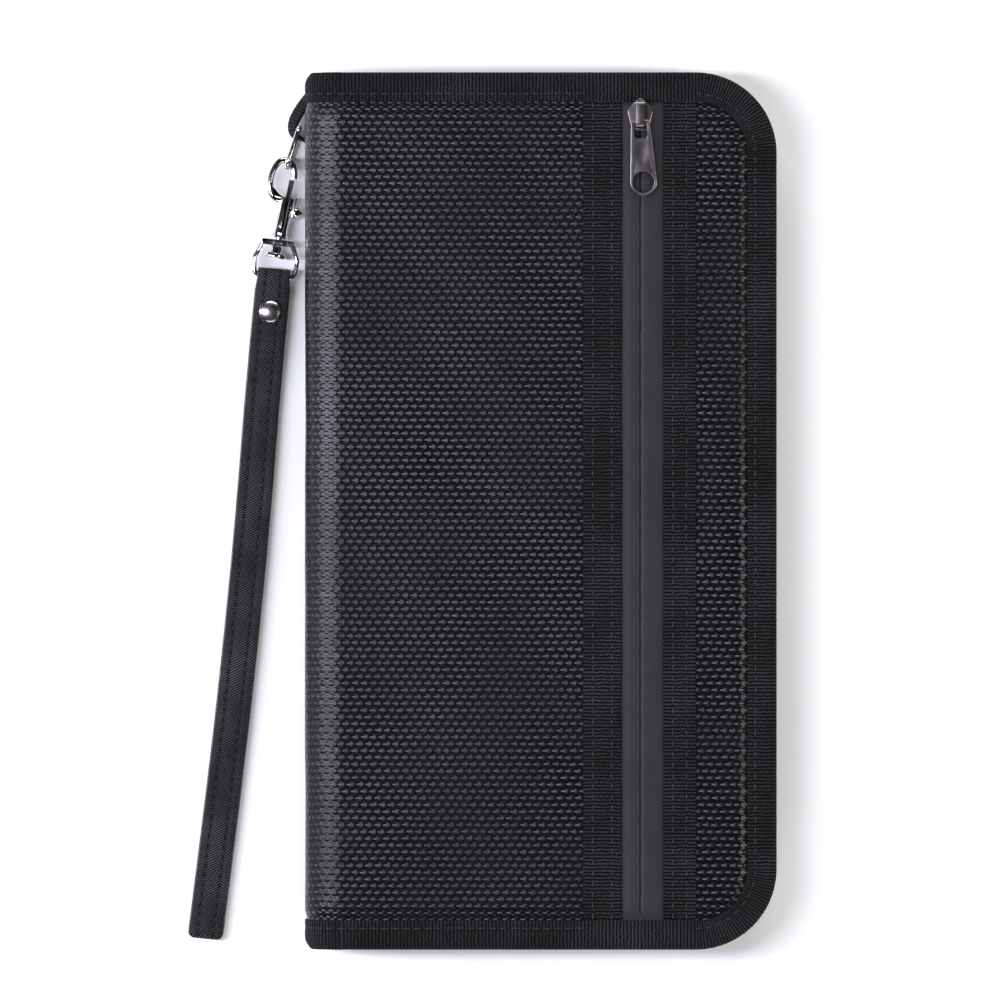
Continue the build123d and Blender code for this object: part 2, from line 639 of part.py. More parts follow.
pocket_seat = Plane(
    origin=(POCKET_ZIP_X, Y_BOUND - SLIDER_TOP_GAP, Z_FRONT), x_dir=(1, 0, 0), z_dir=(0, 0, 1)
)
closing_seat = Plane(
    origin=(CLOSING_SLIDER_X, Y_WALL, Z_ZIP), x_dir=(0, 0, 1), z_dir=(0, -1, 0)
)

for seat, slider_name, puller_name, twist in (
    (pocket_seat, "pocket_slider_body", "pocket_puller", PULLER_TWIST),
    (closing_seat, "closing_slider_body", "closing_puller", 0),
):
    with BuildPart() as zip_slider:
        add(slider_body(seat))
    zip_slider.part.label = slider_name
    export_step(zip_slider.part, f"parts/{slider_name}.step")

    pivot_plane = puller_plane(seat, twist)
    with BuildPart() as zip_puller:
        add(puller_body(pivot_plane))
    zip_puller.part.label = puller_name
    export_step(zip_puller.part, f"parts/{puller_name}.step")
    hole = pivot_plane.from_local_coords(Vector(0, -PULLER_HOLE_D, 0))
    print(puller_name, "pivot", pivot_plane.origin, "axis", pivot_plane.x_dir)
    print(puller_name, "hole", hole, "axis", pivot_plane.z_dir)

# ---------------------------------------------------------------- strap loop and D-ring
RING_LOW = RING_LOW_GAP + RING_WIRE_R
RING_HIGH = RING_LOW + RING_INNER_W + 2 * RING_WIRE_R
RING_MID = (RING_LOW + RING_HIGH) / 2

with BuildPart() as strap_loop:
    with BuildSketch(Plane.XY.offset(RING_MID - LOOP_W / 2)):
        with BuildLine():
            FilletPolyline(
                (X_SPINE + 4.0, Y_EDGE - 2.5),
                (RING_BAR_X + 1.6, RING_BAR_Y + 7.0),
                (RING_BAR_X - 2.9, RING_BAR_Y - 1.8),
                (RING_BAR_X - 1.2, RING_BAR_Y - 5.4),
                (X_SPINE + 4.0, RING_BAR_Y - 5.9),
                radius=1.2,
            )
        trace(line_width=LOOP_T)
    extrude(amount=LOOP_W)
    with BuildSketch(Plane.XZ):
        with Locations((X_FOLD, Z_MID)):
            Circle(SPINE_R)
    extrude(amount=Y_EDGE, both=True, mode=Mode.SUBTRACT)
strap_loop.part.label = "strap_loop"
export_step(strap_loop.part, "parts/strap_loop.step")

ring_out = Vector(-sin(radians(RING_LEAN)), -cos(radians(RING_LEAN)), 0)
ring_plane = Plane(
    origin=(RING_BAR_X, RING_BAR_Y, RING_MID), x_dir=ring_out, z_dir=ring_out.cross(Vector(0, 0, 1))
)
ring_half = (RING_HIGH - RING_LOW) / 2
with BuildPart() as d_ring:
    with BuildLine(ring_plane) as ring_path:
        FilletPolyline(
            (0, 0),
            (0, ring_half),
            (RING_DEPTH, ring_half),
            (RING_DEPTH, 0),
            radius=RING_CORNER_R,
        )
    with BuildSketch(Plane(origin=ring_path.line @ 0, z_dir=ring_path.line % 0)):
        Circle(RING_WIRE_R)
    sweep(path=ring_path.line)
    mirror(about=Plane.XY.offset(RING_MID))
d_ring.part.label = "d_ring"
export_step(d_ring.part, "parts/d_ring.step")

# ---------------------------------------------------------------- bolt snap hook
hook_up = Vector(sin(radians(HOOK_LEAN)), cos(radians(HOOK_LEAN)), 0)
hook_across = Vector(hook_up.Y, -hook_up.X, 0)
ring_arch = Vector(RING_BAR_X, RING_BAR_Y, RING_MID) + ring_out * RING_DEPTH
hook_base = ring_arch - hook_across * RING_S - hook_up * RING_U
hook_base.Z = HOOK_Z
hook_plane = Plane(origin=hook_base, x_dir=hook_across, z_dir=(0, 0, 1))  # local x = s, y = u
hook_axis = Axis(hook_base, hook_up)

BASE_T = 1.1
CHAMBER_TOP = 2.5
BORE_LOW = 3.2
TOP_WALL = 1.0
SIDE_R = (
    CLAW_HALF_W**2 + (CLAW_HALF_L - CLAW_END_R) ** 2 - CLAW_END_R**2
) / (2 * (CLAW_HALF_W - CLAW_END_R))
SIDE_SPAN = degrees(asin((CLAW_HALF_L - CLAW_END_R) / (SIDE_R - CLAW_END_R)))
NOSE_TURN = 5.0
SLOT_HALF = 0.65

with BuildPart() as hook_body:
    with BuildSketch(hook_plane):
        with BuildLine():
            Polyline((0, BARREL_L), (0, 0), (SKIRT_R, 0))
            ThreePointArc((SKIRT_R, 0), (2.35, 1.1), (BARREL_R, SKIRT_L))
            Polyline((BARREL_R, SKIRT_L), (BARREL_R, BARREL_L), (0, BARREL_L))
        make_face()
    revolve(axis=hook_axis)
    with BuildLine(hook_plane) as claw_path:
        u_end = CLAW_HALF_L - CLAW_END_R
        s_side = SIDE_R - CLAW_HALF_W
        CenterArc((CLAW_S - s_side, CLAW_U), SIDE_R, NOSE_TURN, SIDE_SPAN - NOSE_TURN)
        CenterArc((CLAW_S, CLAW_U + u_end), CLAW_END_R, SIDE_SPAN, 180 - 2 * SIDE_SPAN)
        CenterArc((CLAW_S + s_side, CLAW_U), SIDE_R, 180 - SIDE_SPAN, 2 * SIDE_SPAN)
        CenterArc((CLAW_S, CLAW_U - u_end), CLAW_END_R, 180 + SIDE_SPAN, 110 - SIDE_SPAN)
    with BuildSketch(Plane(origin=claw_path.line @ 0, z_dir=claw_path.line % 0)):
        Circle(CLAW_WIRE_R)
    sweep(path=claw_path.line)
    with BuildSketch(hook_plane.offset(-0.8)):
        with BuildLine():
            Polyline(
                (-6.1, 14.4), (-5.0, 11.8), (-1.6, 8.3), (-1.2, 12.1), (-2.6, 12.6), (-5.2, 14.6), close=True
            )
        make_face()
    extrude(amount=1.6)
    along = Plane(origin=hook_base, x_dir=hook_across, z_dir=hook_up)
    for r_hole, u_low, u_high in (
        (STUD_R + FIT, -1.0, BASE_T),
        (1.75, BASE_T, CHAMBER_TOP),
        (BORE_R, BORE_LOW, BARREL_L - TOP_WALL),
        (ROD_R + FIT, BARREL_L - TOP_WALL, BARREL_L + 2.0),
    ):
        with BuildSketch(along.offset(u_low)):
            Circle(r_hole)
        extrude(amount=u_high - u_low, mode=Mode.SUBTRACT)
    slot_low = KNOB_U - BOLT_TRAVEL - KNOB_NECK_ROOM
    slot_high = KNOB_U + KNOB_NECK_ROOM
    with BuildSketch(hook_plane.offset(-SLOT_HALF)):
        with Locations((BARREL_R, (slot_low + slot_high) / 2)):
            Rectangle(2 * BARREL_R, slot_high - slot_low)
    extrude(amount=2 * SLOT_HALF, mode=Mode.SUBTRACT)
hook_body.part.label = "hook_body"
export_step(hook_body.part, "parts/hook_body.step")

ROD_TOP = 17.6
PISTON_LOW = BORE_LOW + BOLT_TRAVEL + SPRING_SOLID
PISTON_TOP = KNOB_U + 1.6
THUMB_PLATE = (6.8, 12.6)
with BuildPart() as hook_bolt:
    with BuildSketch(along.offset(PISTON_LOW)):
        Circle(BORE_R - FIT)
    extrude(amount=PISTON_TOP - PISTON_LOW)
    with BuildSketch(along.offset(PISTON_TOP)):
        Circle(ROD_R)
    extrude(amount=ROD_TOP - PISTON_TOP)
    fillet(hook_bolt.edges().sort_by(hook_axis)[-1], radius=0.3)
    with BuildSketch(hook_plane.offset(-0.5)):
        with Locations((1.5, KNOB_U)):
            Rectangle(2.0, KNOB_NECK_W)
    extrude(amount=1.0)
    with BuildSketch(hook_plane.offset(-0.9)):
        with Locations((2.55, sum(THUMB_PLATE) / 2)):
            Rectangle(0.5, THUMB_PLATE[1] - THUMB_PLATE[0])
    extrude(amount=1.8)
    with BuildSketch(hook_plane):
        with BuildLine():
            Polyline(
                (5.2, KNOB_U + 0.25),
                (5.2, KNOB_U),
                (2.5, KNOB_U),
                (2.5, KNOB_U + 1.6),
                (2.9, KNOB_U + KNOB_R),
                (3.6, KNOB_U + KNOB_R),
            )
            ThreePointArc((3.6, KNOB_U + KNOB_R), (4.3, KNOB_U + 1.2), (5.2, KNOB_U + 0.25))
        make_face()
    revolve(axis=Axis(hook_base + hook_up * KNOB_U, hook_across))
hook_bolt.part.label = "hook_bolt"
export_step(hook_bolt.part, "parts/hook_bolt.step")

# The spring is drawn as the tube that its coils fill.
SPRING_R = 1.1
SPRING_WIRE = 0.35
with BuildPart() as bolt_spring:
    with BuildSketch(along.offset(BORE_LOW)):
        Circle(SPRING_R)
        Circle(SPRING_R - SPRING_WIRE, mode=Mode.SUBTRACT)
    extrude(amount=PISTON_LOW - BORE_LOW)
bolt_spring.part.label = "bolt_spring"
export_step(bolt_spring.part, "parts/bolt_spring.step")

# ---------------------------------------------------------------- swivel stud and eye
STUD_STEPS = (  # radius, from, to along the barrel axis
    (1.5, BASE_T + 0.2, CHAMBER_TOP - 0.3),
    (STUD_R, -2.6, BASE_T + 0.2),
    (1.7, -4.8, -2.6),
    (STUD_FLANGE_R, -6.1, -4.8),
)
with BuildPart() as swivel_stud:
    for r_step, u_low, u_high in STUD_STEPS:
        with BuildSketch(along.offset(u_low)):
            Circle(r_step)
        extrude(amount=u_high - u_low)
    fillet(swivel_stud.edges().group_by(hook_axis)[0], radius=0.4)
swivel_stud.part.label = "swivel_stud"
export_step(swivel_stud.part, "parts/swivel_stud.step")

CROSS_BAR_U = -1.55
CROSS_BAR_T = 1.7
CROSS_BAR_DEEP = 3.0
eye_down = Vector(-sin(radians(EYE_LEAN)), -cos(radians(EYE_LEAN)), 0)
eye_across = Vector(-eye_down.Y, eye_down.X, 0)
eye_top = hook_base + hook_up * CROSS_BAR_U
eye_plane = Plane(origin=eye_top, x_dir=eye_across, z_dir=(0, 0, 1))  # local y points up
strap_bar = eye_top + eye_down * EYE_BAR_DROP
with BuildPart() as swivel_eye:
    with BuildLine(eye_plane) as eye_path:
        FilletPolyline(
            (0, 0),
            (EYE_TOP_W / 2, 0),
            (EYE_WIDE_W / 2, -0.48 * EYE_BAR_DROP),
            (EYE_BAR_W / 2 + 0.2, -0.75 * EYE_BAR_DROP),
            (EYE_BAR_W / 2, -EYE_BAR_DROP),
            (0, -EYE_BAR_DROP),
            radius=(1.1, 2.5, 2.5, 1.9),
        )
    with BuildSketch(Plane(origin=eye_path.line @ 0, z_dir=eye_path.line % 0)):
        Circle(EYE_WIRE_R)
    sweep(path=eye_path.line)
    mirror(about=Plane(eye_top, x_dir=eye_down, z_dir=eye_across))
    with BuildSketch(eye_plane.offset(-CROSS_BAR_DEEP / 2)) as cross_bar:
        Rectangle(EYE_TOP_W + 1.0, CROSS_BAR_T)
        fillet(cross_bar.vertices(), radius=0.5)
    extrude(amount=CROSS_BAR_DEEP)
    with BuildSketch(along.offset(CROSS_BAR_U - 3.0)):
        Circle(STUD_R + 0.2)
    extrude(amount=6.0, mode=Mode.SUBTRACT)
swivel_eye.part.label = "swivel_eye"
export_step(swivel_eye.part, "parts/swivel_eye.step")

# ---------------------------------------------------------------- wrist strap
# One strip: its tail lies underneath, it wraps up over the strap bar, runs down as the upper
# leaf, folds at the far end and comes back as the lower leaf, up to the rivet.
strap_down = Vector(-sin(radians(STRAP_LEAN)), -cos(radians(STRAP_LEAN)), 0)
strap_plane = Plane(
    origin=(strap_bar.X, strap_bar.Y, 0),
    x_dir=strap_down,
    z_dir=strap_down.cross(Vector(0, 0, 1)),
)  # local x = distance down the strap, y = height
WRAP_R = EYE_WIRE_R + WRAP_CLEAR + STRAP_T / 2
BAR_H = HOOK_Z
Z_LEAF = LIE_GAP + STRAP_T / 2  # middle of the lower leaf where it lies flat
FOLD_R = 0.95  # of the strip's middle at the far end
Z_UPPER = Z_LEAF + 2 * FOLD_R
Z_TAIL = LIE_GAP + 0.7 + STRAP_T / 2  # the tail lies on the rivet's back
LAP = STRAP_T - 0.02  # sewn layers
X_TURN = STRAP_L - FOLD_R - STRAP_T / 2
with BuildPart() as wrist_strap:
    with BuildSketch(strap_plane):
        with BuildLine():
            FilletPolyline(
                (17.0, Z_TAIL), (6.0, Z_TAIL), (2.5, BAR_H - WRAP_R), (0, BAR_H - WRAP_R), radius=5
            )
            CenterArc((0, BAR_H), WRAP_R, 90, 180)
            FilletPolyline(
                (0, BAR_H + WRAP_R),
                (1.2, BAR_H + WRAP_R),
                (6.2, Z_TAIL + 2 * LAP),
                (16.0, Z_TAIL + 2 * LAP),
                (32.0, Z_UPPER),
                (X_TURN, Z_UPPER),
                radius=5,
            )
            CenterArc((X_TURN, Z_LEAF + FOLD_R), FOLD_R, -90, 180)
            Line((X_TURN, Z_LEAF), (30.0, Z_LEAF))
        trace(line_width=STRAP_T)
    extrude(amount=STRAP_W / 2, both=True)
    with BuildSketch(strap_plane):
        with BuildLine():
            FilletPolyline(
                (31.0, Z_LEAF), (29.0, Z_LEAF), (18.0, Z_TAIL + LAP), (5.0, Z_TAIL + LAP), radius=5
            )
        trace(line_width=STRAP_T)
    extrude(amount=STRAP_W / 2, both=True)
    strap_floor = Plane(origin=(strap_bar.X, strap_bar.Y, 0), x_dir=strap_down, z_dir=(0, 0, 1))
    with BuildSketch(strap_floor) as plan:
        with BuildLine():
            Polyline(
                (-2 * WRAP_R, WRAP_W / 2),
                (0, WRAP_W / 2),
                (6.0, STRAP_W / 2),
                (STRAP_L, STRAP_W / 2),
                (STRAP_L, -STRAP_W / 2),
                (6.0, -STRAP_W / 2),
                (0, -WRAP_W / 2),
                (-2 * WRAP_R, -WRAP_W / 2),
                close=True,
            )
        make_face()
        fillet(plan.vertices().group_by(Axis.X)[-1], radius=1.6)
    extrude(amount=2 * BAR_H + 4, mode=Mode.INTERSECT)
    with BuildSketch(Plane(strap_bar + strap_down * RIVET_AT - Vector(0, 0, BAR_H))):
        Circle(RIVET_SHANK_R + FIT)
    extrude(amount=2 * BAR_H, mode=Mode.SUBTRACT)
wrist_strap.part.label = "wrist_strap"
export_step(wrist_strap.part, "parts/wrist_strap.step")

rivet_foot = strap_bar + strap_down * RIVET_AT - Vector(0, 0, BAR_H)
Z_SEAT = Z_TAIL + 2 * LAP + STRAP_T / 2
DOME_H = 1.4
CROWN_R = 0.5
with BuildPart() as strap_rivet_cap:
    with BuildSketch(Plane(rivet_foot + Vector(0, 0, LIE_GAP + 0.4))):
        Circle(RIVET_SHANK_R)
    extrude(amount=Z_SEAT - LIE_GAP)
    with BuildSketch(Plane(rivet_foot, x_dir=(1, 0, 0), z_dir=(0, -1, 0))):
        with BuildLine():
            Polyline(
                (CROWN_R, Z_SEAT + DOME_H),
                (0, Z_SEAT + DOME_H),
                (0, Z_SEAT),
                (RIVET_R, Z_SEAT),
                (RIVET_R, Z_SEAT + 0.3),
            )
            ThreePointArc(
                (RIVET_R, Z_SEAT + 0.3),
                (0.67 * RIVET_R, Z_SEAT + 0.8 * DOME_H),
                (CROWN_R, Z_SEAT + DOME_H),
            )
        make_face()
    revolve(axis=Axis(rivet_foot, (0, 0, 1)))
strap_rivet_cap.part.label = "strap_rivet_cap"
export_step(strap_rivet_cap.part, "parts/strap_rivet_cap.step")

with BuildPart() as strap_rivet_back:
    with BuildSketch(Plane(rivet_foot + Vector(0, 0, LIE_GAP))):
        Circle(RIVET_R - 0.4)
    extrude(amount=0.7)
    with BuildSketch(Plane(rivet_foot + Vector(0, 0, LIE_GAP + 0.4))):
        Circle(RIVET_SHANK_R)
    extrude(amount=0.3, mode=Mode.SUBTRACT)
    fillet(strap_rivet_back.edges().group_by(Axis.Z)[0], radius=0.25)
strap_rivet_back.part.label = "strap_rivet_back"
export_step(strap_rivet_back.part, "parts/strap_rivet_back.step")

hinge_drop = SPINE_R * sqrt(0.5)
print("cover hinge", (X_FOLD - hinge_drop, Z_MID + hinge_drop))
print("zip mid height", Z_ZIP, "strap bar", strap_bar, "eye across", eye_across)
print("hook up", hook_up, "hook base", hook_base)
print("ring arch", ring_arch, "ring mid", RING_MID)
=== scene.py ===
"""Looks of a travel document wallet with a wrist strap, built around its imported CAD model."""

import math

import bmesh
import bpy
import numpy as np
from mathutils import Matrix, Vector


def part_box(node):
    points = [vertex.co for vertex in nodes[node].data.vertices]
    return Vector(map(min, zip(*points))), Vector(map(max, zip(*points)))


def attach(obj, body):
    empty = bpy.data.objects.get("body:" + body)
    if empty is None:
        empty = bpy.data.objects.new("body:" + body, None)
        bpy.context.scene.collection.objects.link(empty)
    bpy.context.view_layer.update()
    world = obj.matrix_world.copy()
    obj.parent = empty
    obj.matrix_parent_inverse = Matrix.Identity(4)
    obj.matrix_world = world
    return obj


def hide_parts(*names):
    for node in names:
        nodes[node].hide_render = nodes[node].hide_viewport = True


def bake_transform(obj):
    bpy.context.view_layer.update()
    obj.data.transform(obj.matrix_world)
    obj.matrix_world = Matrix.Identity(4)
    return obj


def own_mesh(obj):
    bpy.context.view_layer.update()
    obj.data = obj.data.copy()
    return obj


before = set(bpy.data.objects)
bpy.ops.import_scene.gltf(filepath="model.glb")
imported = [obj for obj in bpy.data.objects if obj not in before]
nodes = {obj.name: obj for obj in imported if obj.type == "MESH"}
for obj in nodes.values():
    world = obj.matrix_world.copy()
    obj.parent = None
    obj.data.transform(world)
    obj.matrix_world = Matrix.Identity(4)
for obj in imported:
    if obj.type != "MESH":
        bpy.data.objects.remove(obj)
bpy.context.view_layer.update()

# Sizes in millimetres, as in the CAD model.
MM = 0.001
X_FOLD, X_OPEN, Y_EDGE = -59.0, 70.0, 130.0
SPINE_R, CORNER_R = 11.0, 24.0
THICKNESS = 22.0
Z_MID = THICKNESS / 2
BINDING_W = 8.8
Y_BOUND = Y_EDGE - BINDING_W
X_BOUND = X_OPEN - BINDING_W
BOUND_CORNER_R = CORNER_R - BINDING_W
SEAM_IN = 6.4  # binding's stitch row, in from the bound edge
ZIP_X = 29.5
FACINGS = {"pocket_facing_left": (12.6, 24.0), "pocket_facing_right": (36.3, 46.1)}
CLOSING_INSET = 7.5
X_ZIP_END, X_FRONT_CHAIN = -58.9, -47.5
SPINE_END_R = 1.8  # rounding of the spine's ends, seen from above
RIVET_SEAT = 4.6


def distances(line):
    """Distance to each point of a line from its first."""
    steps = np.linalg.norm(np.diff(line, axis=0), axis=1)
    return np.concatenate([[0], np.cumsum(steps)])


def headings(line):
    heading = np.gradient(line, axis=0)
    return heading / np.linalg.norm(heading, axis=1)[:, None]


def grid(x, y, z):
    """Array of points from coordinates that broadcast to one shape."""
    return np.stack(np.broadcast_arrays(x, y, z), -1)


# ---------------------------------------------------------------- shader building
def add_node(tree, kind, inputs=None, **settings):
    made = tree.nodes.new(kind)
    for key, value in settings.items():
        setattr(made, key, value)
    for key, value in (inputs or {}).items():
        if isinstance(value, bpy.types.NodeSocket):
            tree.links.new(value, made.inputs[key])
        else:
            made.inputs[key].default_value = value
    return made


def calc(tree, operation, *values):
    made = add_node(tree, "ShaderNodeMath", dict(enumerate(values)), operation=operation)
    return made.outputs[0]


def ease(tree, value, low, high, at_low=0.0, at_high=1.0):
    """Smooth step of value from at_low at low to at_high at high."""
    made = add_node(
        tree,
        "ShaderNodeMapRange",
        {"Value": value, "From Min": low, "From Max": high, "To Min": at_low, "To Max": at_high},
        interpolation_type="SMOOTHSTEP",
    )
    return made.outputs["Result"]


def noise(tree, place, scale, detail=3.0, roughness=0.55):
    made = add_node(
        tree,
        "ShaderNodeTexNoise",
        {"Vector": place, "Scale": scale, "Detail": detail, "Roughness": roughness},
    )
    return made.outputs["Fac"]


def mix_colour(tree, factor, first, second):
    made = add_node(
        tree, "ShaderNodeMix", {"Factor": factor}, data_type="RGBA", blend_type="MIX"
    )
    for socket, value in ((made.inputs[6], first), (made.inputs[7], second)):
        if isinstance(value, bpy.types.NodeSocket):
            tree.links.new(value, socket)
        else:
            socket.default_value = (*value, 1)
    return made.outputs[2]


def new_group(name, inputs, outputs):
    tree = bpy.data.node_groups.new(name, "ShaderNodeTree")
    for label, kind, value in inputs:
        socket = tree.interface.new_socket(label, in_out="INPUT", socket_type=kind)
        if value is not None:
            socket.default_value = value
    for label in outputs:
        tree.interface.new_socket(label, in_out="OUTPUT", socket_type="NodeSocketFloat")
    return tree, tree.nodes.new("NodeGroupInput").outputs, tree.nodes.new("NodeGroupOutput")


PLACE = ("Place", "NodeSocketVector", None)


def number(label, value):
    return (label, "NodeSocketFloat", value)


def basket_weave_group():
    """Rows of short raised floats, each row shifted by half a float, over upright yarns."""
    tree, given, out = new_group(
        "Basket weave", [PLACE, number("Across", 0.0027), number("Along", 0.002)], ["Float", "Height"]
    )
    split = add_node(tree, "ShaderNodeSeparateXYZ", {"Vector": given["Place"]}).outputs
    wander = calc(tree, "MULTIPLY_ADD", noise(tree, given["Place"], 160.0, 1.0), 0.5, -0.25)
    rows = calc(tree, "DIVIDE", split["Y"], given["Along"])
    rows = calc(tree, "ADD", rows, calc(tree, "MULTIPLY", wander, 0.5))
    odd = calc(tree, "MULTIPLY", calc(tree, "FLOORED_MODULO", calc(tree, "FLOOR", rows), 2.0), 0.5)
    columns = calc(tree, "ADD", calc(tree, "DIVIDE", split["X"], given["Across"]), odd)
    columns = calc(tree, "ADD", columns, wander)
    dx = calc(tree, "ABSOLUTE", calc(tree, "SUBTRACT", calc(tree, "FRACT", columns), 0.5))
    dy = calc(tree, "ABSOLUTE", calc(tree, "SUBTRACT", calc(tree, "FRACT", rows), 0.5))
    floats = calc(tree, "MULTIPLY", ease(tree, dx, 0.3, 0.14), ease(tree, dy, 0.17, 0.03))
    yarns = calc(tree, "MULTIPLY", ease(tree, dx, 0.05, 0.5), ease(tree, dy, 0.5, 0.2))
    height = calc(tree, "MULTIPLY_ADD", floats, 0.7, yarns)
    tree.links.new(floats, out.inputs["Float"])
    tree.links.new(height, out.inputs["Height"])
    return tree


def ribbed_tape_group():
    """Ribs across a woven tape, each broken into the bumps of its yarns."""
    tree, given, out = new_group(
        "Ribbed tape", [PLACE, number("Rib", 0.0009), number("Yarn", 0.00062)], ["Height"]
    )
    split = add_node(tree, "ShaderNodeSeparateXYZ", {"Vector": given["Place"]}).outputs
    wander = calc(tree, "MULTIPLY_ADD", noise(tree, given["Place"], 420.0, 1.0), 0.7, -0.35)
    ribs = calc(tree, "ADD", calc(tree, "DIVIDE", split["X"], given["Rib"]), wander)
    odd = calc(tree, "MULTIPLY", calc(tree, "FLOORED_MODULO", calc(tree, "FLOOR", ribs), 2.0), 0.5)
    yarns = calc(tree, "ADD", calc(tree, "DIVIDE", split["Y"], given["Yarn"]), odd)
    rib = calc(tree, "SINE", calc(tree, "MULTIPLY", calc(tree, "FRACT", ribs), math.pi))
    yarn = calc(tree, "SINE", calc(tree, "MULTIPLY", calc(tree, "FRACT", yarns), math.pi))
    bump = calc(tree, "MULTIPLY", rib, calc(tree, "MULTIPLY_ADD", yarn, 0.6, 0.4))
    tree.links.new(bump, out.inputs["Height"])
    return tree


def uneven_group():
    """Slow changes of shade over a surface, with a finer mottle on top."""
    tree, given, out = new_group(
        "Uneven shade", [PLACE, number("Scale", 60.0), number("Fine", 900.0)], ["Shade"]
    )
    slow = noise(tree, given["Place"], given["Scale"], 3.0)
    fine = noise(tree, given["Place"], given["Fine"], 2.0)
    shade = calc(tree, "MULTIPLY_ADD", fine, 0.35, calc(tree, "MULTIPLY", slow, 0.65))
    tree.links.new(shade, out.inputs["Shade"])
    return tree


def handling_group():
    """Fine hairline scratches and smudges on metal."""
    sizes = [PLACE, number("Scratches", 700.0), number("Smudges", 180.0)]
    tree, given, out = new_group("Handling marks", sizes, ["Marks", "Smudge"])
    stretch = {"Vector": given["Place"], "Scale": (1.0, 0.08, 0.5), "Rotation": (0, 0, 0.5)}
    stretched = add_node(tree, "ShaderNodeMapping", stretch).outputs[0]
    marks = ease(tree, noise(tree, stretched, given["Scratches"], 4.0, 0.7), 0.56, 0.72)
    smudge = noise(tree, given["Place"], given["Smudges"], 3.0)
    tree.links.new(marks, out.inputs["Marks"])
    tree.links.new(smudge, out.inputs["Smudge"])
    return tree


BASKET, RIBS, UNEVEN, HANDLING = (
    basket_weave_group(), ribbed_tape_group(), uneven_group(), handling_group()
)


def use_group(tree, group, **inputs):
    made = tree.nodes.new("ShaderNodeGroup")
    made.node_tree = group
    for key, value in inputs.items():
        if isinstance(value, bpy.types.NodeSocket):
            tree.links.new(value, made.inputs[key])
        else:
            made.inputs[key].default_value = value
    return made.outputs


def new_material(name, constants, bump=None):
    """Material with its plain values set on the shader. bump is (strength, depth in metres)."""
    material = bpy.data.materials.new(name)
    material.use_nodes = True
    tree = material.node_tree
    shader = tree.nodes["Principled BSDF"]
    for socket, value in constants.items():
        shader.inputs[socket].default_value = value
    if bump:
        raised = add_node(tree, "ShaderNodeBump", {"Strength": bump[0], "Distance": bump[1]})
        tree.links.new(raised.outputs["Normal"], shader.inputs["Normal"])
    return material, tree


def wire(material, colour, roughness=None, height=None):
    """Feeds what varies over the surface into its shader."""
    tree = material.node_tree
    shader = tree.nodes["Principled BSDF"]
    tree.links.new(colour, shader.inputs["Base Color"])
    if roughness:
        tree.links.new(roughness, shader.inputs["Roughness"])
    if height:
        tree.links.new(height, tree.nodes["Bump"].inputs["Height"])
    return material


def surface_place(tree):
    return add_node(tree, "ShaderNodeUVMap", uv_map="place").outputs["UV"]


def object_place(tree):
    return add_node(tree, "ShaderNodeTexCoord").outputs["Object"]


def coated_fabric():
    material, tree = new_material("Coated basket fabric", {"Specular IOR Level": 0.24}, (0.8, 0.00016))
    place = surface_place(tree)
    weave = use_group(tree, BASKET, Place=place)
    shade = use_group(tree, UNEVEN, Place=place, Scale=24.0, Fine=420.0)["Shade"]
    # Pale colour painted on the weave's floats, its strength varied at random: painted highlight on the float tops.
    lit = calc(tree, "MULTIPLY", weave["Float"], ease(tree, shade, 0.34, 0.62, 0.25, 1.0))
    # Ground darker in the low parts of the weave and lighter on its raised yarns: painted shade in the hollows.
    ground = mix_colour(tree, weave["Height"], (0.0009, 0.0009, 0.0013), (0.004, 0.004, 0.0055))
    colour = mix_colour(tree, lit, ground, (0.1, 0.1, 0.112))
    return wire(material, colour, ease(tree, shade, 0.3, 0.7, 0.36, 0.27), weave["Height"])


def ribbed_tape(name, dark, light, rib=0.0009, yarn=0.00062, roughness=(0.62, 0.8)):
    material, tree = new_material(name, {"Specular IOR Level": 0.1}, (1.0, 0.00035))
    place = surface_place(tree)
    height = use_group(tree, RIBS, Place=place, Rib=rib, Yarn=yarn)["Height"]
    shade = use_group(tree, UNEVEN, Place=place, Scale=45.0, Fine=1500.0)["Shade"]
    # Rib crests painted lighter and the hollows between ribs darker, varied at random along the tape: painted highlight
    # and painted shade.
    crest = ease(tree, height, 0.25, 0.95)
    crest_light_and_wear = calc(tree, "MULTIPLY", crest, ease(tree, shade, 0.3, 0.68, 0.2, 1.0))
    rough = ease(tree, height, 0.0, 1.0, roughness[1], roughness[0])
    return wire(material, mix_colour(tree, crest_light_and_wear, dark, light), rough, height)


def coated_zip_tape():
    """Matt film over the zip tape, pressed slightly by the coil under it."""
    coil_pitch = 0.00135
    material, tree = new_material("Coated zip tape", {"Specular IOR Level": 0.2}, (0.35, 0.00012))
    place = surface_place(tree)
    shade = use_group(tree, UNEVEN, Place=place, Scale=70.0, Fine=2600.0)["Shade"]
    split = add_node(tree, "ShaderNodeSeparateXYZ", {"Vector": place}).outputs
    turns = calc(tree, "SINE", calc(tree, "MULTIPLY", split["X"], 2 * math.pi / coil_pitch))
    grain = noise(tree, place, 3800.0, 2.0)
    colour = mix_colour(tree, shade, (0.011, 0.011, 0.0125), (0.026, 0.026, 0.029))
    height = calc(tree, "MULTIPLY_ADD", turns, 0.18, grain)
    return wire(material, colour, ease(tree, grain, 0.3, 0.7, 0.46, 0.62), height)


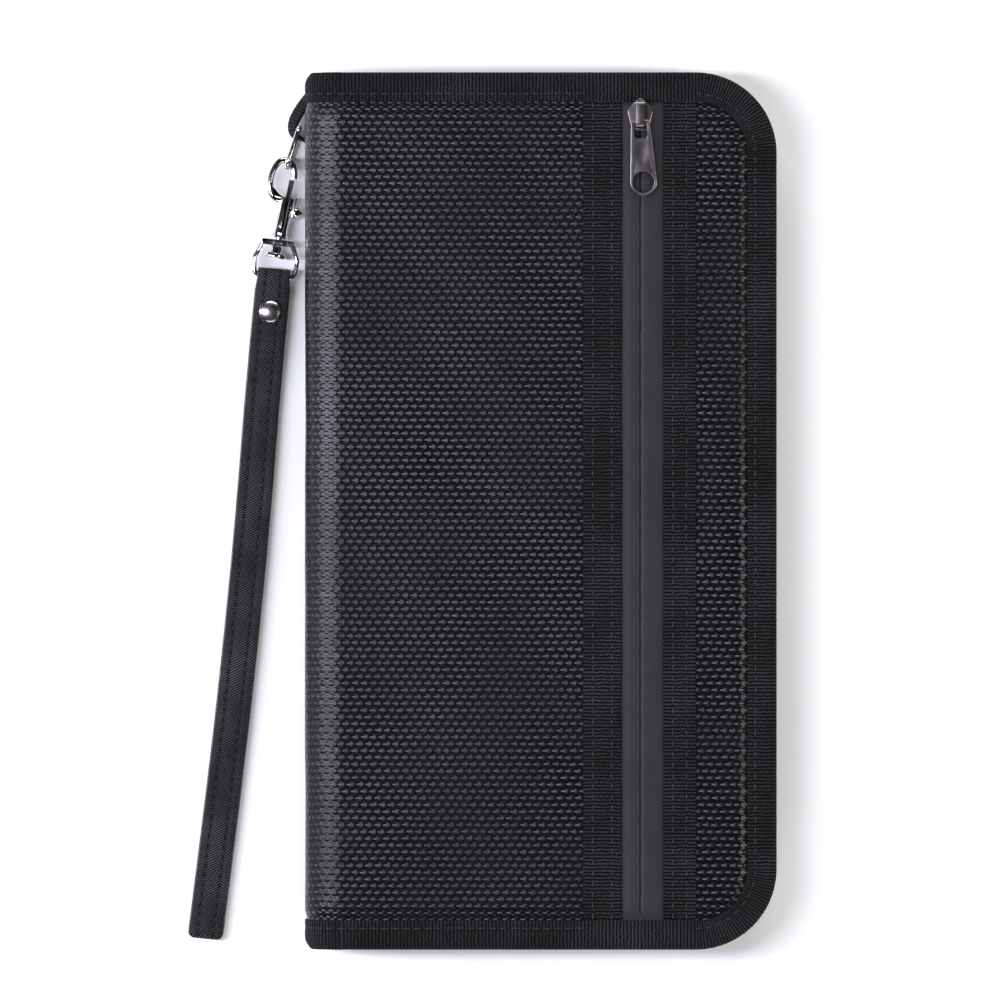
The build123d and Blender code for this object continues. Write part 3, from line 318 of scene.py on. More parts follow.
def hatched_leather():
    """Fine diagonal ribs that lean one way over most of the strap and mirror near one side."""
    rib_pitch, cross_pitch = 0.0008, 0.0012
    mirror_at, grooves_at = 0.0068, (0.00237, 0.0072)  # metres round the strap's section
    material, tree = new_material("Hatched strap leather", {"Specular IOR Level": 0.16}, (0.9, 0.0002))
    place = surface_place(tree)
    split = add_node(tree, "ShaderNodeSeparateXYZ", {"Vector": place}).outputs

    def off(at):
        return calc(tree, "ABSOLUTE", calc(tree, "SUBTRACT", split["Y"], at))

    across = off(mirror_at)
    lean = calc(tree, "MULTIPLY_ADD", across, -0.65, split["X"])
    wander = calc(tree, "MULTIPLY_ADD", noise(tree, place, 300.0, 2.0), 1.4, -0.7)
    ribs = calc(tree, "SINE", calc(tree, "MULTIPLY_ADD", lean, 2 * math.pi / rib_pitch, wander))
    cross = calc(tree, "MULTIPLY_ADD", across, 1.4, split["X"])
    cross = calc(tree, "SINE", calc(tree, "MULTIPLY", cross, 2 * math.pi / cross_pitch))
    height = ease(tree, calc(tree, "MULTIPLY_ADD", cross, 0.3, ribs), 0.0, 1.25)
    shade = use_group(tree, UNEVEN, Place=place, Scale=60.0, Fine=1300.0)["Shade"]
    # Colour kept dark along the two stitch grooves: painted shade in the grooves.
    groove = ease(tree, calc(tree, "MINIMUM", off(grooves_at[0]), off(grooves_at[1])), 0.0002, 0.00055)
    # Rib crests painted pale and the hollows between them dark, varied at random: painted highlight and painted shade.
    crest_light_and_wear = calc(tree, "MULTIPLY", height, ease(tree, shade, 0.35, 0.65, 0.3, 1.0))
    crest_light_and_wear = calc(tree, "MULTIPLY", crest_light_and_wear, groove)
    colour = mix_colour(tree, crest_light_and_wear, (0.0006, 0.0006, 0.0008), (0.13, 0.13, 0.142))
    return wire(material, colour, ease(tree, height, 0.0, 1.0, 0.55, 0.4), height)


def edge_paint():
    material, tree = new_material("Strap edge paint", {"Specular IOR Level": 0.5}, (0.3, 0.0001))
    place = object_place(tree)
    lumps = use_group(tree, UNEVEN, Place=place, Scale=400.0, Fine=1800.0)["Shade"]
    colour = mix_colour(tree, lumps, (0.003, 0.003, 0.003), (0.009, 0.009, 0.01))
    return wire(material, colour, ease(tree, lumps, 0.3, 0.7, 0.28, 0.45), lumps)


def sewing_thread():
    material, tree = new_material("Sewing thread", {"Specular IOR Level": 0.35}, (0.5, 0.00006))
    place = object_place(tree)
    ply = add_node(
        tree,
        "ShaderNodeTexWave",
        {"Vector": place, "Scale": 900.0, "Distortion": 1.5, "Detail": 1.0},
        bands_direction="DIAGONAL",
    ).outputs["Fac"]
    shade = use_group(tree, UNEVEN, Place=place, Scale=120.0, Fine=2000.0)["Shade"]
    # Thread painted lighter along the crests of its plies and darker between them: painted highlight and painted shade.
    tone = calc(tree, "MULTIPLY", ply, shade)
    colour = mix_colour(tree, tone, (0.006, 0.006, 0.007), (0.045, 0.045, 0.05))
    return wire(material, colour, ease(tree, shade, 0.3, 0.7, 0.5, 0.7), ply)


def worked_metal(name, base, crest_light_and_wear, roughness, scratches):
    material, tree = new_material(name, {"Metallic": 1.0}, (0.12, 0.00004))
    marks = use_group(tree, HANDLING, Place=object_place(tree), Scratches=scratches)
    rough = ease(tree, marks["Smudge"], 0.3, 0.7, *roughness)
    rough = calc(tree, "MULTIPLY_ADD", marks["Marks"], 0.1, rough)
    return wire(material, mix_colour(tree, marks["Smudge"], base, crest_light_and_wear), rough, marks["Marks"])


def moulded(name, dark, light, roughness=(0.4, 0.6), specular=0.35):
    """Plain solid stuff such as coil, board and foam, with a fine grain."""
    material, tree = new_material(name, {"Specular IOR Level": specular}, (0.3, 0.0001))
    place = object_place(tree)
    shade = use_group(tree, UNEVEN, Place=place, Scale=150.0, Fine=2200.0)["Shade"]
    return wire(
        material, mix_colour(tree, shade, dark, light), ease(tree, shade, 0.3, 0.7, *roughness), shade
    )


FABRIC = coated_fabric()
# Each ribbed tape's second colour is the painted highlight of its rib crests.
GROSGRAIN = ribbed_tape(
    "Grosgrain binding", (0.0006, 0.0006, 0.0007), (0.04, 0.04, 0.044), 0.00105, 0.0007
)
ZIP_WEAVE = ribbed_tape(
    "Woven zip tape", (0.002, 0.002, 0.0024), (0.016, 0.016, 0.018), 0.0006, 0.0005
)
LINING = ribbed_tape(
    "Nylon lining", (0.012, 0.012, 0.014), (0.045, 0.045, 0.05), 0.0005, 0.0005, (0.5, 0.65)
)
POCKET = ribbed_tape(
    "Nylon pocket cloth", (0.009, 0.009, 0.0105), (0.034, 0.034, 0.038), 0.0004, 0.0004, (0.42, 0.58)
)
ZIP_FILM = coated_zip_tape()
LEATHER = hatched_leather()
EDGE_PAINT = edge_paint()
THREAD = sewing_thread()
GUNMETAL = worked_metal("Gunmetal", (0.17, 0.15, 0.156), (0.195, 0.176, 0.182), (0.3, 0.36), 700.0)
NICKEL = worked_metal("Polished nickel", (0.72, 0.7, 0.68), (0.62, 0.6, 0.58), (0.07, 0.16), 900.0)
RIVET_METAL = worked_metal("Rivet nickel", (0.42, 0.36, 0.355), (0.34, 0.29, 0.285), (0.2, 0.28), 900.0)
SPRING_STEEL = worked_metal("Spring steel", (0.4, 0.4, 0.41), (0.3, 0.3, 0.31), (0.25, 0.4), 800.0)
COIL_PLASTIC = moulded("Coil filament", (0.006, 0.006, 0.007), (0.014, 0.014, 0.016), (0.3, 0.42), 0.45)
BOARD = moulded("Stiffener board", (0.07, 0.07, 0.07), (0.1, 0.1, 0.1))
FOAM = moulded("Closed-cell foam", (0.03, 0.03, 0.032), (0.05, 0.05, 0.053), (0.8, 0.95), 0.1)


# ---------------------------------------------------------------- mesh building
def finish_piece(name, mesh, body, replaced=()):
    """Object at the origin that rides on a body; a spine piece has its place baked into its mesh and rides on none."""
    piece = bpy.data.objects.new(name, mesh)
    bpy.context.scene.collection.objects.link(piece)
    if body == "spine":
        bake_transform(piece)
    else:
        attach(piece, body)
    if replaced:
        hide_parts(*replaced)
    return piece


def closed_mesh(name, points, faces, places, material):
    """Mesh in metres from points in mm. places gives each face corner's flat place in mm."""
    mesh = bpy.data.meshes.new(name)
    mesh.from_pydata((np.asarray(points) * MM).tolist(), [], faces)
    layer = mesh.uv_layers.new(name="place")
    flat = np.asarray([uv for face in places for uv in face], np.float32) * MM
    layer.data.foreach_set("uv", flat.ravel())
    mesh.materials.append(material)
    mesh.polygons.foreach_set("use_smooth", [True] * len(mesh.polygons))
    work = bmesh.new()
    work.from_mesh(mesh)
    bmesh.ops.recalc_face_normals(work, faces=work.faces)
    work.to_mesh(mesh)
    work.free()
    mesh.set_sharp_from_angle(angle=math.radians(60))
    return mesh


def sweep(name, rings, along, material):
    """Closed skin through rings, an array (stations, points, 3). along is each station's distance."""
    rings = np.asarray(rings, float)
    n, m = rings.shape[:2]
    around = distances(np.concatenate([rings[0], rings[0][:1]]))
    points = rings.reshape(-1, 3)
    faces, places = [], []
    for i in range(n - 1):
        for j in range(m):
            k = (j + 1) % m
            faces.append([i * m + j, i * m + k, (i + 1) * m + k, (i + 1) * m + j])
            v0, v1 = around[j], around[j + 1]
            places.append([(along[i], v0), (along[i], v1), (along[i + 1], v1), (along[i + 1], v0)])
    for i in (0, n - 1):
        faces.append([i * m + j for j in range(m)])
        places.append([(along[i] + 0.05 * j, around[j]) for j in range(m)])
    return closed_mesh(name, points, faces, places, material)


def shell(name, outer, inner, place, material):
    """Closed sheet between two grids (rows, columns, 3). place is each grid point's flat place."""
    n, m = outer.shape[:2]
    points = np.concatenate([outer.reshape(-1, 3), inner.reshape(-1, 3)])
    faces, places = [], []

    def corner(i, j, layer):
        return layer * n * m + i * m + j

    for layer in (0, 1):
        for i in range(n - 1):
            for j in range(m - 1):
                cells = [(i, j), (i, j + 1), (i + 1, j + 1), (i + 1, j)]
                faces.append([corner(a, b, layer) for a, b in cells])
                places.append([tuple(place[a, b]) for a, b in cells])
    rim = (
        [(0, j) for j in range(m)]
        + [(i, m - 1) for i in range(1, n)]
        + [(n - 1, j) for j in range(m - 2, -1, -1)]
        + [(i, 0) for i in range(n - 2, 0, -1)]
    )
    for a, b in zip(rim, rim[1:] + rim[:1]):
        faces.append([corner(*a, 0), corner(*b, 0), corner(*b, 1), corner(*a, 1)])
        places.append([tuple(place[a]), tuple(place[b]), tuple(place[b] + 0.3), tuple(place[a] + 0.3)])
    return closed_mesh(name, points, faces, places, material)


def smooth_step(value):
    value = np.clip(value, 0, 1)
    return value * value * (3 - 2 * value)


def swell(s, y):
    """Slow unevenness of the padded cover, in mm, from its flat place."""
    wave = 0.09 * np.sin(2 * np.pi * (s / 49 + y / 131) + 0.4)
    wave += 0.07 * np.sin(2 * np.pi * (y / 61 - s / 83) + 1.9)
    return wave + 0.04 * np.sin(2 * np.pi * (y / 27 + s / 33) + 0.8)


def inside_bound(x, y):
    """Distance in from the binding's inner edge, over the flat cover."""
    qx = np.maximum(x, 0) - (X_BOUND - BOUND_CORNER_R)
    qy = np.abs(y) - (Y_BOUND - BOUND_CORNER_R)
    outside = np.hypot(np.maximum(qx, 0), np.maximum(qy, 0))
    return BOUND_CORNER_R - outside - np.minimum(np.maximum(qx, qy), 0)


def open_end(y, inset):
    """X of the rounded outline at height y, set in from the bound edge."""
    radius = CORNER_R - inset
    high = np.maximum(np.abs(y) - (Y_EDGE - CORNER_R), 0)
    return X_OPEN - CORNER_R + np.sqrt(np.maximum(radius**2 - high**2, 0))


def cover_rows(limit):
    """Y stations, closer together near both ends."""
    inner = np.linspace(-limit + 10, limit - 10, int(limit - 10) + 1)
    near = limit - 10 + np.array([2, 4, 6, 7.5, 8.6, 9.3, 10.0])
    return np.concatenate([-near[::-1], inner, near])


def flat_panel(name, x_start, x_end, body, replaced, outer_face):
    """Panel of cover fabric. outer_face is +1 for the front cover and -1 for the back."""
    y = cover_rows(Y_EDGE - 1.4)
    share = np.concatenate([np.linspace(0, 0.9, 40), 1 - 0.1 * np.linspace(0.87, 0, 8) ** 1.2])
    limit = x_end if np.ndim(x_end) else np.full_like(y, x_end)
    x = x_start + np.outer(limit - x_start, share)
    grid_y = np.repeat(y[:, None], len(share), 1)
    depth = inside_bound(x, grid_y)
    pressed = 0.68 * smooth_step(1 - depth / 2.6)
    quiet = smooth_step(depth / 8)
    if outer_face > 0:
        s = x
        top = THICKNESS - 0.05 + 0.8 * swell(s, grid_y) * quiet - pressed
        low = np.full_like(top, THICKNESS - 1.45)
    else:
        s = 2 * X_FOLD - SPINE_R * np.pi - x
        top = 0.05 + 0.4 * np.abs(swell(s, grid_y)) * quiet + pressed
        low = np.full_like(top, 1.45)
    place = np.stack([s, grid_y], -1)
    mesh = shell(name, grid(x, grid_y, top), grid(x, grid_y, low), place, FABRIC)
    piece = finish_piece(name, mesh, body, replaced)


def spine_sheet():
    """The fabric that rolls round the spine."""
    y = cover_rows(Y_EDGE - 1.4)
    turn = np.radians(np.linspace(-90, 90, 41))
    s = X_FOLD - SPINE_R * (np.pi / 2 - turn)
    grid_s, grid_y = np.meshgrid(s, y)
    depth = Y_BOUND - np.abs(grid_y)
    radius = SPINE_R - 0.05 - 0.68 * smooth_step(1 - depth / 2.6)
    radius += 0.8 * swell(grid_s, grid_y) * smooth_step(depth / 8)
    radius = np.minimum(radius, SPINE_R)

    def roll(r):
        return np.stack([X_FOLD - r * np.cos(turn), grid_y, Z_MID + r * np.sin(turn)], -1)

    place = np.stack([grid_s, grid_y], -1)
    mesh = shell("spine_sheet", roll(radius), roll(np.full_like(radius, 9.55)), place, FABRIC)
    finish_piece("spine_sheet", mesh, "spine")


# ---------------------------------------------------------------- bindings
def cover_path(x_start=X_FOLD):
    """Stations round the three open sides: edge point, inward direction, distance."""
    step = 2.5
    reach = Y_EDGE - CORNER_R
    centre_x = X_OPEN - CORNER_R
    points, inward = [], []
    for x in np.linspace(x_start, centre_x, int((centre_x - x_start) / step) + 1)[:-1]:
        points.append((x, Y_EDGE))
        inward.append((0, -1))
    for a in np.radians(np.linspace(90, 0, 25)):
        points.append((centre_x + CORNER_R * math.cos(a), reach + CORNER_R * math.sin(a)))
        inward.append((-math.cos(a), -math.sin(a)))
    for y in np.linspace(reach, -reach, int(2 * reach / step) + 1)[1:-1]:
        points.append((X_OPEN, y))
        inward.append((-1, 0))
    for a in np.radians(np.linspace(0, -90, 25)):
        points.append((centre_x + CORNER_R * math.cos(a), -reach + CORNER_R * math.sin(a)))
        inward.append((-math.cos(a), -math.sin(a)))
    for x in np.linspace(centre_x, x_start, int((centre_x - x_start) / step) + 1)[1:]:
        points.append((x, -Y_EDGE))
        inward.append((0, 1))
    points, inward = np.array(points, float), np.array(inward, float)
    return points, inward, distances(points)


# Section of a binding: in from the bound edge, and depth below its outer face.
OUTER_LEG = [
    (8.8, 0.66), (8.83, 0.3), (8.68, 0.1), (8.3, 0.02), (7.5, 0.03), (6.9, 0.1), (6.4, 0.16),
    (5.9, 0.1), (5.2, 0.0), (4.0, -0.06), (2.6, -0.03), (1.5, 0.12), (0.75, 0.4), (0.25, 0.9), (0.02, 1.6),
]


def binding_section(depth):
    """Folded tape that grips layers of that depth."""
    far = [
        (0.02, depth - 1.3), (0.25, depth - 0.75), (0.75, depth - 0.3), (1.6, depth - 0.06),
        (3.5, depth), (5.4, depth - 0.04), (6.2, depth - 0.06), (6.5, depth - 0.3), (6.48, depth - 0.66),
    ]
    inside = [(1.2, depth - 0.7), (0.72, depth - 1.3), (0.72, 1.3), (1.2, 0.7)]
    return np.array(OUTER_LEG + far + inside)


def wavy(u, seed, size):
    """Small hand-sewn unevenness along a seam, in mm."""
    return size * (
        np.sin(u / 7.3 + seed) + 0.7 * np.sin(u / 3.1 + 2.3 * seed) + 0.5 * np.sin(u / 17.0 + 0.7 * seed)
    )


def cover_binding(name, depth, outer_face, body):
    section = binding_section(depth)
    points, inward, along = cover_path()
    a, h = section[:, 0], section[:, 1]
    a = a + smooth_step((a - 5) / 3) * wavy(along, 1.0 + outer_face, 0.06)[:, None]
    h = h + wavy(along, 3.0, 0.03)[:, None] * (np.abs(h) < 0.5) * (a > 1)
    if outer_face > 0:  # it climbs over the ends of the zip facings
        over = smooth_step((points[:, 0] - 11.0) / 2.5) * smooth_step((47.8 - points[:, 0]) / 2.5)
        over = over * (np.abs(points[:, 1]) > Y_EDGE - 1)
        h = h - 0.42 * over[:, None] * smooth_step((a - 3.5) / 4) * (h < 0.7)
    z = THICKNESS - h if outer_face > 0 else np.maximum(h, 0.0)
    x = points[:, :1] + a * inward[:, :1]
    y = points[:, 1:] + a * inward[:, 1:]
    mesh = sweep(name, grid(x, y, z), along, GROSGRAIN)
    finish_piece(name, mesh, body, (body.split("_")[0] + "_binding",))


def corner_inset(turn):
    """How far the spine's end is rounded away, seen from above."""
    out = SPINE_END_R - (SPINE_R - SPINE_R * np.cos(turn))
    return SPINE_END_R - np.sqrt(np.maximum(SPINE_END_R**2 - np.maximum(out, 0) ** 2, 0))


def spine_binding(name, side):
    """Binding over one end of the spine roll; side is +1 at the top edge."""
    section = binding_section(2.2)
    turn = np.radians(np.linspace(-90, 90, 37))
    along = SPINE_R * turn + (0 if side > 0 else 500)
    a = np.repeat(section[None, :, 0], len(turn), 0)
    a = a + corner_inset(turn)[:, None] * smooth_step(1 - a / 6)
    a = a + smooth_step((a - 5) / 3) * wavy(along, 5.0, 0.05)[:, None] * np.cos(turn)[:, None]
    r = SPINE_R - np.maximum(section[None, :, 1], 0.0)
    r = np.repeat(r, len(turn), 0)
    x = X_FOLD - r * np.cos(turn)[:, None]
    z = Z_MID + r * np.sin(turn)[:, None]
    mesh = sweep(name, grid(x, side * (Y_EDGE - a), z), along, GROSGRAIN)
    finish_piece(name, mesh, "spine")


# ---------------------------------------------------------------- pocket zip
def tape_rows():
    """Y stations of the pocket zip, closer together where it goes under the binding."""
    step, reach = 2.5, Y_BOUND
    inner = np.linspace(-reach + 4, reach - 4, int(2 * (reach - 4) / step) + 1)
    near = reach - 4 + np.array([1.0, 1.8, 2.5, 3.1, 3.6, 4.0, 4.7])
    return np.concatenate([-near[::-1], inner, near])


def zip_facing(name, x_low, x_high):
    """Grosgrain strip sewn down along both its edges, its ends under the binding."""
    y = tape_rows()
    width = x_high - x_low
    section = np.array(
        [(0, 0.02), (0, 0.34), (0.14, 0.47), (0.5, 0.5), (2.3, 0.44), (2.9, 0.36), (3.5, 0.45),
         (0.5 * width, 0.53), (width - 3.5, 0.45), (width - 2.9, 0.36), (width - 2.3, 0.44), (width - 0.5, 0.5), (width - 0.14, 0.47),
         (width, 0.34), (width, 0.02)]
    )
    down = 0.62 * smooth_step((np.abs(y) - (Y_BOUND - 2.4)) / 2.6)
    x = x_low + section[None, :, 0] + wavy(y, x_low, 0.05)[:, None]
    z = THICKNESS - 0.12 + section[None, :, 1] * 1.12 - down[:, None]
    mesh = sweep(name, grid(x, y[:, None], z), y, GROSGRAIN)
    finish_piece(name + "_strip", mesh, "front_half", (name,))


def zip_film(name, side):
    """One coated half of the pocket zip, which swells over the coil and turns down at the middle."""
    y = tape_rows()
    face_edge = 5.5 if side < 0 else 6.8
    section = np.array(
        [(0.28, -0.75), (0.24, -0.3), (0.36, -0.06), (0.75, 0.08), (1.4, 0.14), (2.4, 0.15), (3.4, 0.08),
         (4.2, -0.06), (face_edge - 0.5, -0.2), (face_edge + 0.6, -0.3), (face_edge + 2, -0.2), (12.2, -0.15),
         (12.2, -0.55), (face_edge, -0.6), (2.0, -0.58), (0.8, -0.6)]
    )
    end = smooth_step((Y_BOUND - np.abs(y)) / 3.0)[:, None]
    rise = np.where(section[None, :, 1] > -0.25, section[None, :, 1] + 0.2, 0) * (end - 1)
    lip = 0.17 + 0.12 * np.sin(y / 1.3) * np.sin(y / 4.1 + side)
    meet = (section[None, :, 0] < 0.3) * lip[:, None]
    x = ZIP_X + side * (section[None, :, 0] - meet)
    z = THICKNESS + section[None, :, 1] + rise - 0.3 * (1 - end)
    mesh = sweep(name, grid(x, y[:, None], z), y, ZIP_FILM)
    node = "pocket_tape_left" if side < 0 else "pocket_tape_right"
    finish_piece(name, mesh, "front_half", (node,))


# ---------------------------------------------------------------- geometry-node trees
def start_tree(name, inputs):
    tree = bpy.data.node_groups.new(name, "GeometryNodeTree")
    tree.interface.new_socket("Geometry", in_out="INPUT", socket_type="NodeSocketGeometry")
    for label, kind, value in inputs:
        socket = tree.interface.new_socket(label, in_out="INPUT", socket_type=kind)
        if value is not None:
            socket.default_value = value
    tree.interface.new_socket("Geometry", in_out="OUTPUT", socket_type="NodeSocketGeometry")
    return tree, tree.nodes.new("NodeGroupInput").outputs, tree.nodes.new("NodeGroupOutput")


def along_a_line(tree, given, spacing, shape, jitter):
    """Copies of shape along each line, its X along the line, then made real."""
    curve = add_node(tree, "GeometryNodeMeshToCurve", {"Mesh": given["Geometry"]}).outputs[0]
    spaced = add_node(
        tree, "GeometryNodeResampleCurve", {"Curve": curve, "Length": spacing}, mode="LENGTH"
    )
    tangent = add_node(tree, "GeometryNodeInputTangent").outputs[0]
    turned = add_node(
        tree, "FunctionNodeAlignRotationToVector", {"Vector": tangent}, axis="X"
    ).outputs[0]
    amount = add_node(
        tree,
        "FunctionNodeRandomValue",
        {"Seed": given["Seed"]},
        data_type="FLOAT",
    )
    amount.inputs[2].default_value = 1 - jitter
    amount.inputs[3].default_value = 1 + jitter
    copies = add_node(
        tree,
        "GeometryNodeInstanceOnPoints",
        {"Points": spaced.outputs[0], "Instance": shape, "Rotation": turned, "Scale": amount.outputs[1]},
    ).outputs[0]
    return add_node(tree, "GeometryNodeRealizeInstances", {"Geometry": copies}).outputs[0]


def finish_tree(tree, out, made, material):
    made = add_node(tree, "GeometryNodeSetShadeSmooth", {"Geometry": made}).outputs[0]
    made = add_node(tree, "GeometryNodeSetMaterial", {"Geometry": made, "Material": material})
    tree.links.new(made.outputs[0], out.inputs[0])
    return tree


def stitch_tree():
    """Row of thread stitches along a line."""
    tree, given, out = start_tree(
        "Stitch row",
        [number("Stitch length", 0.0024), number("Gap", 0.0008), number("Thread radius", 0.00022),
         ("Thread", "NodeSocketMaterial", None), ("Seed", "NodeSocketInt", 3)],
    )
    stitch = add_node(
        tree, "GeometryNodeMeshUVSphere", {"Segments": 6, "Rings": 6, "Radius": 1.0}
    ).outputs[0]
    half = calc(tree, "MULTIPLY", given["Stitch length"], 0.5)
    size = add_node(
        tree, "ShaderNodeCombineXYZ", {"X": half, "Y": given["Thread radius"], "Z": given["Thread radius"]}
    ).outputs[0]
    stitch = add_node(tree, "GeometryNodeTransform", {"Geometry": stitch, "Scale": size}).outputs[0]
    pitch = calc(tree, "ADD", given["Stitch length"], given["Gap"])
    made = along_a_line(tree, given, pitch, stitch, 0.06)
    return finish_tree(tree, out, made, given["Thread"])


def coil_tree():
    """Zip coil along a line: one leaning oval turn at each step."""
    tree, given, out = start_tree(
        "Zip coil",
        [number("Spacing", 0.00135), number("Width", 0.0012), number("Height", 0.002),
         number("Filament radius", 0.00026), ("Filament", "NodeSocketMaterial", None),
         ("Seed", "NodeSocketInt", 5)],
    )
    ring = add_node(tree, "GeometryNodeCurvePrimitiveCircle", {"Resolution": 10, "Radius": 1.0}).outputs[0]
    wire = calc(tree, "MULTIPLY", given["Filament radius"], -1.0)
    half_w = calc(tree, "MULTIPLY_ADD", given["Width"], 0.5, wire)
    half_h = calc(tree, "MULTIPLY_ADD", given["Height"], 0.5, wire)
    size = add_node(tree, "ShaderNodeCombineXYZ", {"X": half_h, "Y": half_w, "Z": 1.0}).outputs[0]
    quarter, leaning = (0.0, math.radians(-90), 0.0), (0.0, 0.0, math.radians(18))
    for change in ({"Scale": size}, {"Rotation": quarter}, {"Rotation": leaning}):
        ring = add_node(tree, "GeometryNodeTransform", {"Geometry": ring, **change}).outputs[0]
    wire_r = given["Filament radius"]
    thick = add_node(tree, "ShaderNodeCombineXYZ", {"X": wire_r, "Y": wire_r, "Z": 1.0}).outputs[0]
    section = add_node(tree, "GeometryNodeCurvePrimitiveCircle", {"Resolution": 5}).outputs[0]
    section = add_node(tree, "GeometryNodeTransform", {"Geometry": section, "Scale": thick}).outputs[0]
    turn = add_node(
        tree, "GeometryNodeCurveToMesh", {"Curve": ring, "Profile Curve": section}
    ).outputs[0]
    made = along_a_line(tree, given, given["Spacing"], turn, 0.01)
    return finish_tree(tree, out, made, given["Filament"])


STITCHES, COIL = stitch_tree(), coil_tree()


def grown_along(name, lines, tree, settings):
    """Plain mesh that a node tree grows along lines, each an array of points in mm."""
    mesh = bpy.data.meshes.new(name + "_line")
    points, edges = [], []
    for line in lines:
        first = len(points)
        points += (np.asarray(line) * MM).tolist()
        edges += [(i, i + 1) for i in range(first, len(points) - 1)]
    mesh.from_pydata(points, edges, [])
    guide = bpy.data.objects.new(name + "_line", mesh)
    bpy.context.scene.collection.objects.link(guide)
    modifier = guide.modifiers.new("grow", "NODES")
    modifier.node_group = tree
    for item in tree.interface.items_tree:
        if item.in_out == "INPUT" and item.name in settings:
            modifier[item.identifier] = settings[item.name]
    graph = bpy.context.evaluated_depsgraph_get()
    grown = bpy.data.meshes.new_from_object(guide.evaluated_get(graph))
    bpy.data.objects.remove(guide)
    grown.name = name
    return grown


def stitches(name, lines, body, length=2.4, gap=0.8, radius=0.22):
    mesh = grown_along(
        name,
        lines,
        STITCHES,
        {"Stitch length": length * MM, "Gap": gap * MM, "Thread radius": radius * MM, "Thread": THREAD},
    )
    finish_piece(name, mesh, body)


def coil(name, lines, body, width, height, replaced):
    mesh = grown_along(
        name, lines, COIL, {"Width": width * MM, "Height": height * MM, "Filament": COIL_PLASTIC}
    )
    finish_piece(name, mesh, body, replaced)


def edge_line(inset, z, x_start=X_FOLD, wave=0.06):
    """Line round the open sides at one inset and height."""
    points, inward, along = cover_path(x_start)
    a = inset + wavy(along, 1.0, wave)
    return np.column_stack([points + a[:, None] * inward, np.full(len(points), z)])


def binding_seams():
    stitches("front_binding_stitches", [edge_line(SEAM_IN, THICKNESS - 0.1)], "front_half")
    stitches("back_binding_stitches", [edge_line(SEAM_IN, 0.24)], "back_half", radius=0.2)
    stitches("front_inner_stitches", [edge_line(5.7, 15.26)], "front_half")
    stitches("back_inner_stitches", [edge_line(5.7, 5.64)], "back_half")
    turn = np.radians(np.linspace(-88, 88, 40))
    r = SPINE_R - 0.24
    rows = [
        np.column_stack([
            X_FOLD - r * np.cos(turn), np.full(len(turn), side * (Y_EDGE - SEAM_IN)), Z_MID + r * np.sin(turn)
        ])
        for side in (-1, 1)
    ]
    stitches("spine_binding_stitches", rows, "spine")


def facing_seams():
    y = np.linspace(-Y_BOUND + 1.2, Y_BOUND - 1.2, 90)
    rows = []
    for x_low, x_high in FACINGS.values():
        for x in (x_low + 2.9, x_high - 2.9):
            rows.append(np.column_stack([x + wavy(y, x, 0.04), y, np.full_like(y, THICKNESS + 0.34)]))
    stitches("facing_stitches", rows, "front_half", length=2.3, gap=0.9)


# ---------------------------------------------------------------- closing zip
def closing_tape(name, back):
    """Zip tape round three sides: a flange in the binding and a wall up to the coil."""
    x_start = X_ZIP_END if back else X_FRONT_CHAIN
    points, inward, along = cover_path(x_start)
    if back:
        flange, edge = 4.42, 9.85
    else:
        flange, edge = 16.48, 11.05
    up = 1 if back else -1
    section = np.array(
        [(1.0, 0.0), (6.6, 0.0), (7.3, 0.25 * up), (7.5, 0.9 * up), (7.5, 2.6 * up), (7.5, edge - flange - 0.5 * up),
         (7.6, edge - flange), (7.95, edge - flange), (8.05, edge - flange - 0.5 * up), (8.1, 2.6 * up),
         (8.1, 0.5 * up), (8.1, -0.02 * up), (7.6, -0.05 * up), (1.0, -0.04 * up)]
    )
    section[:2, 1] += 0.52 * up
    a, z = section[:, 0], flange + section[:, 1]
    x = points[:, :1] + a * inward[:, :1]
    y = points[:, 1:] + a * inward[:, 1:]
    mesh = sweep(name, grid(x, y, z), along, ZIP_WEAVE)
    side = "back" if back else "front"
    finish_piece(name, mesh, side + "_half", (f"closing_tape_{side}",))
    chain_z = 8.85 if back else 12.05
    coil(
        f"closing_chain_{side}", [edge_line(CLOSING_INSET + 1.2, chain_z, x_start + 0.6, 0)],
        side + "_half", 1.2, 2.0, (f"closing_coil_{side}",),
    )


def pocket_chain():
    y = np.linspace(-Y_BOUND + 1, Y_BOUND - 1, 60)
    lines = [
        np.column_stack([np.full_like(y, ZIP_X + side * 1.6), y, np.full_like(y, 20.8)]) for side in (-1, 1)
    ]
    coil("pocket_chain", lines, "front_half", 2.0, 1.2, ("pocket_coil",))


# ---------------------------------------------------------------- metal pieces
def metal_piece(node, body, material, edge=0.1):
    """The CAD solid with merged points and eased edges, so that they catch the light."""
    mesh = nodes[node].data.copy()
    mesh.name = node + "_eased"
    work = bmesh.new()
    work.from_mesh(mesh)
    bmesh.ops.remove_doubles(work, verts=work.verts, dist=1e-6)
    bmesh.ops.dissolve_limit(
        work, angle_limit=math.radians(0.5), verts=work.verts, edges=work.edges
    )
    for face in work.faces:
        bends = [e.calc_face_angle(0) for e in face.edges]
        broad = len(face.verts) > 6 and face.calc_area() > 1 * MM * MM
        face.smooth = not broad and min(bends) < math.radians(25)
    if edge:
        bend = math.radians(32)
        sharp = [e for e in work.edges if len(e.link_faces) == 2 and e.calc_face_angle(0) > bend]
        eased = bmesh.ops.bevel(
            work, geom=sharp, offset=edge * MM, segments=2, profile=0.6, affect="EDGES",
            clamp_overlap=True,
        )
        for face in eased["faces"]:
            face.smooth = True
    bmesh.ops.triangulate(work, faces=[f for f in work.faces if len(f.verts) > 4])
    work.to_mesh(mesh)
    work.free()
    mesh.materials.clear()
    mesh.materials.append(material)
    mesh.polygons.foreach_set("material_index", [0] * len(mesh.polygons))
    mesh.set_sharp_from_angle(angle=math.radians(38))
    finish_piece(node + "_eased", mesh, body, (node,))


